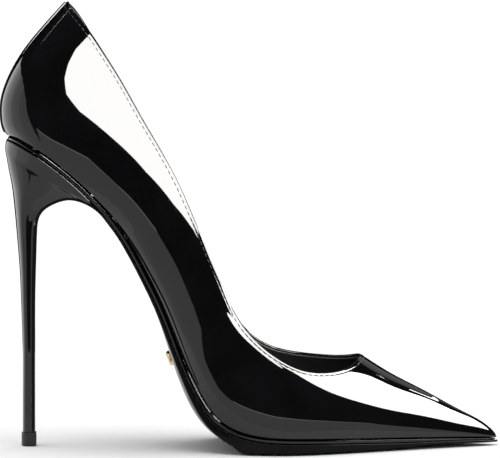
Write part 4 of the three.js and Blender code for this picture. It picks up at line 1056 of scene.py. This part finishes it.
sun_data.energy, sun_data.angle = 1.8, math.radians(55)
sun = bpy.data.objects.new("overhead", sun_data)
sun.visible_glossy = False
scene.collection.objects.link(sun)
wt.links.new(bg.outputs[0], mx.inputs[1])
wt.links.new(bg2.outputs[0], mx.inputs[2])
wt.links.new(mx.outputs[0], wt.nodes["World Output"].inputs["Surface"])


def plane(name, corners, material, camera=True, diffuse=True, shadow=True):
    me = bpy.data.meshes.new(name)
    me.from_pydata([tuple(c) for c in corners], [], [tuple(range(len(corners)))])
    me.materials.append(material)
    o = bpy.data.objects.new(name, me)
    scene.collection.objects.link(o)
    o.visible_camera, o.visible_diffuse, o.visible_shadow = camera, diffuse, shadow
    return o


def glow(name, strength, colour=(1, 1, 1)):
    m = bpy.data.materials.new(name)
    m.use_nodes = True
    t = m.node_tree
    t.nodes.clear()
    e, out = t.nodes.new("ShaderNodeEmission"), t.nodes.new("ShaderNodeOutputMaterial")
    e.inputs["Color"].default_value = (*colour, 1)
    e.inputs["Strength"].default_value = strength
    t.links.new(e.outputs[0], out.inputs["Surface"])
    return m


floor_mat, ft, fb = node_material("floor_white", (.93, .93, .93), .6, spec=.0)
ft.links.new(ramp(ft, noise(ft, coords(ft), 2.0, 2), [(.2, (.925, .925, .925)), (.8, (.935, .935, .935))]), fb.inputs["Base Color"])
plane("floor", [(-6, -6, 0), (6, -6, 0), (6, 8, 0), (-6, 8, 0)], floor_mat)
scene.view_settings.view_transform = "Standard"
scene.view_settings.look = "None"


def card(name, pts, material):
    return plane(name, pts, material, camera=False, diffuse=False, shadow=False)


def front(px, y=-.07):  # front screen, drawn in half millimetres from (-.25, .30)
    return [(-.25 + a / 2000, y, .30 - b / 2000) for a, b in px]


WHITE, GREY, BLACK = glow("card_white", 24.5, (1, .995, .975)), glow("card_grey", .85), glow("card_black", 0.0)
EDGE = [(180, 390), (300, 400), (345, 408), (370, 436), (415, 444), (435, 456), (455, 478), (452, 492), (400, 530), (392, 552), (420, 560), (520, 566), (600, 564), (700, 557), (760, 549), (800, 553), (860, 570), (960, 592), (1400, 594)]
card("front_light", front([(345, 190), (330, 196), (303, 212), (299, 240), (303, 270), (318, 300), (350, 328), (400, 355), (450, 380), (500, 393), (550, 397), (590, 397), (604, 394), (612, 388), (606, 380), (594, 372), (590, 366), (600, 362), (650, 357), (700, 348), (750, 338), (800, 325), (850, 313), (900, 297), (950, 283), (1000, 262), (1000, -150), (660, -150), (600, 330), (545, 342), (500, 325), (450, 288), (400, 244)]), WHITE)
card("front_grey", front(EDGE + [(1400, 599), (180, 599)], -.0702), GREY)
card("front_grey_line", front(EDGE[:5] + [(a, b - 3) for a, b in EDGE[:5]][::-1], -.0701), glow("card_line", 2.2))
card("front_grey_line_2", front(EDGE[10:17] + [(a, b - 2) for a, b in EDGE[10:17]][::-1], -.0701), glow("card_line_2", 2.0))
for tag, power, pts in (("a", .85, [(60, 540), (90, 470), (110, 400), (150, 370), (150, 699), (60, 699)]), ("b", 1.0, [(150, 370), (200, 352), (220, 350), (220, 699), (150, 699)]), ("c", 1.3, [(220, 350), (300, 340), (570, 340), (570, 699), (220, 699)])):
    card("side_grey_" + tag, [(-.16, -.1 + a / 2000, .35 - b / 2000) for a, b in pts], glow("card_side_" + tag, power))
card("top_light", [(-.05 + a / 2000, .35 - b / 2000, .13) for a, b in [(150, 838), (220, 826), (280, 792), (318, 742), (334, 700), (342, 645), (357, 600), (370, 555), (390, 520), (409, 492), (430, 484), (470, 525), (560, 560), (610, 600), (612, 660), (600, 710), (565, 770), (535, 800), (500, 815), (400, 828), (300, 835)]], WHITE)
card("ridge_light", [(-.05 + a / 2000, .35 - b / 2000, .13) for a, b in [(368, 458), (380, 444), (392, 418), (400, 385), (405, 320), (408, 200), (413, 200), (413, 330), (410, 372), (404, 400), (396, 430), (386, 452), (374, 470), (368, 476)]], glow("card_ridge", 17))
card("vamp_grey", [(-.05 + a / 2000, .35 - b / 2000, .1302) for a, b in [(100, -1100), (445, -1100), (445, 180), (404, 200), (396, 370), (380, 410), (360, 430), (250, 400), (100, 200)]], glow("card_vamp", .34))
card("dark_floor", [(-6, -6, .0006), (6, -6, .0006), (6, -.0705, .0006), (-6, -.0705, .0006)], BLACK)
card("dark_back", [(-1.2, .34, 0), (1.2, .34, 0), (1.2, .34, .5), (-1.2, .34, .5)], BLACK)
card("back_light", [(-.75, .34, .62), (.1, .34, .62), (.1, .75, 1.2), (-.75, .75, 1.2)], glow("card_back", 16))
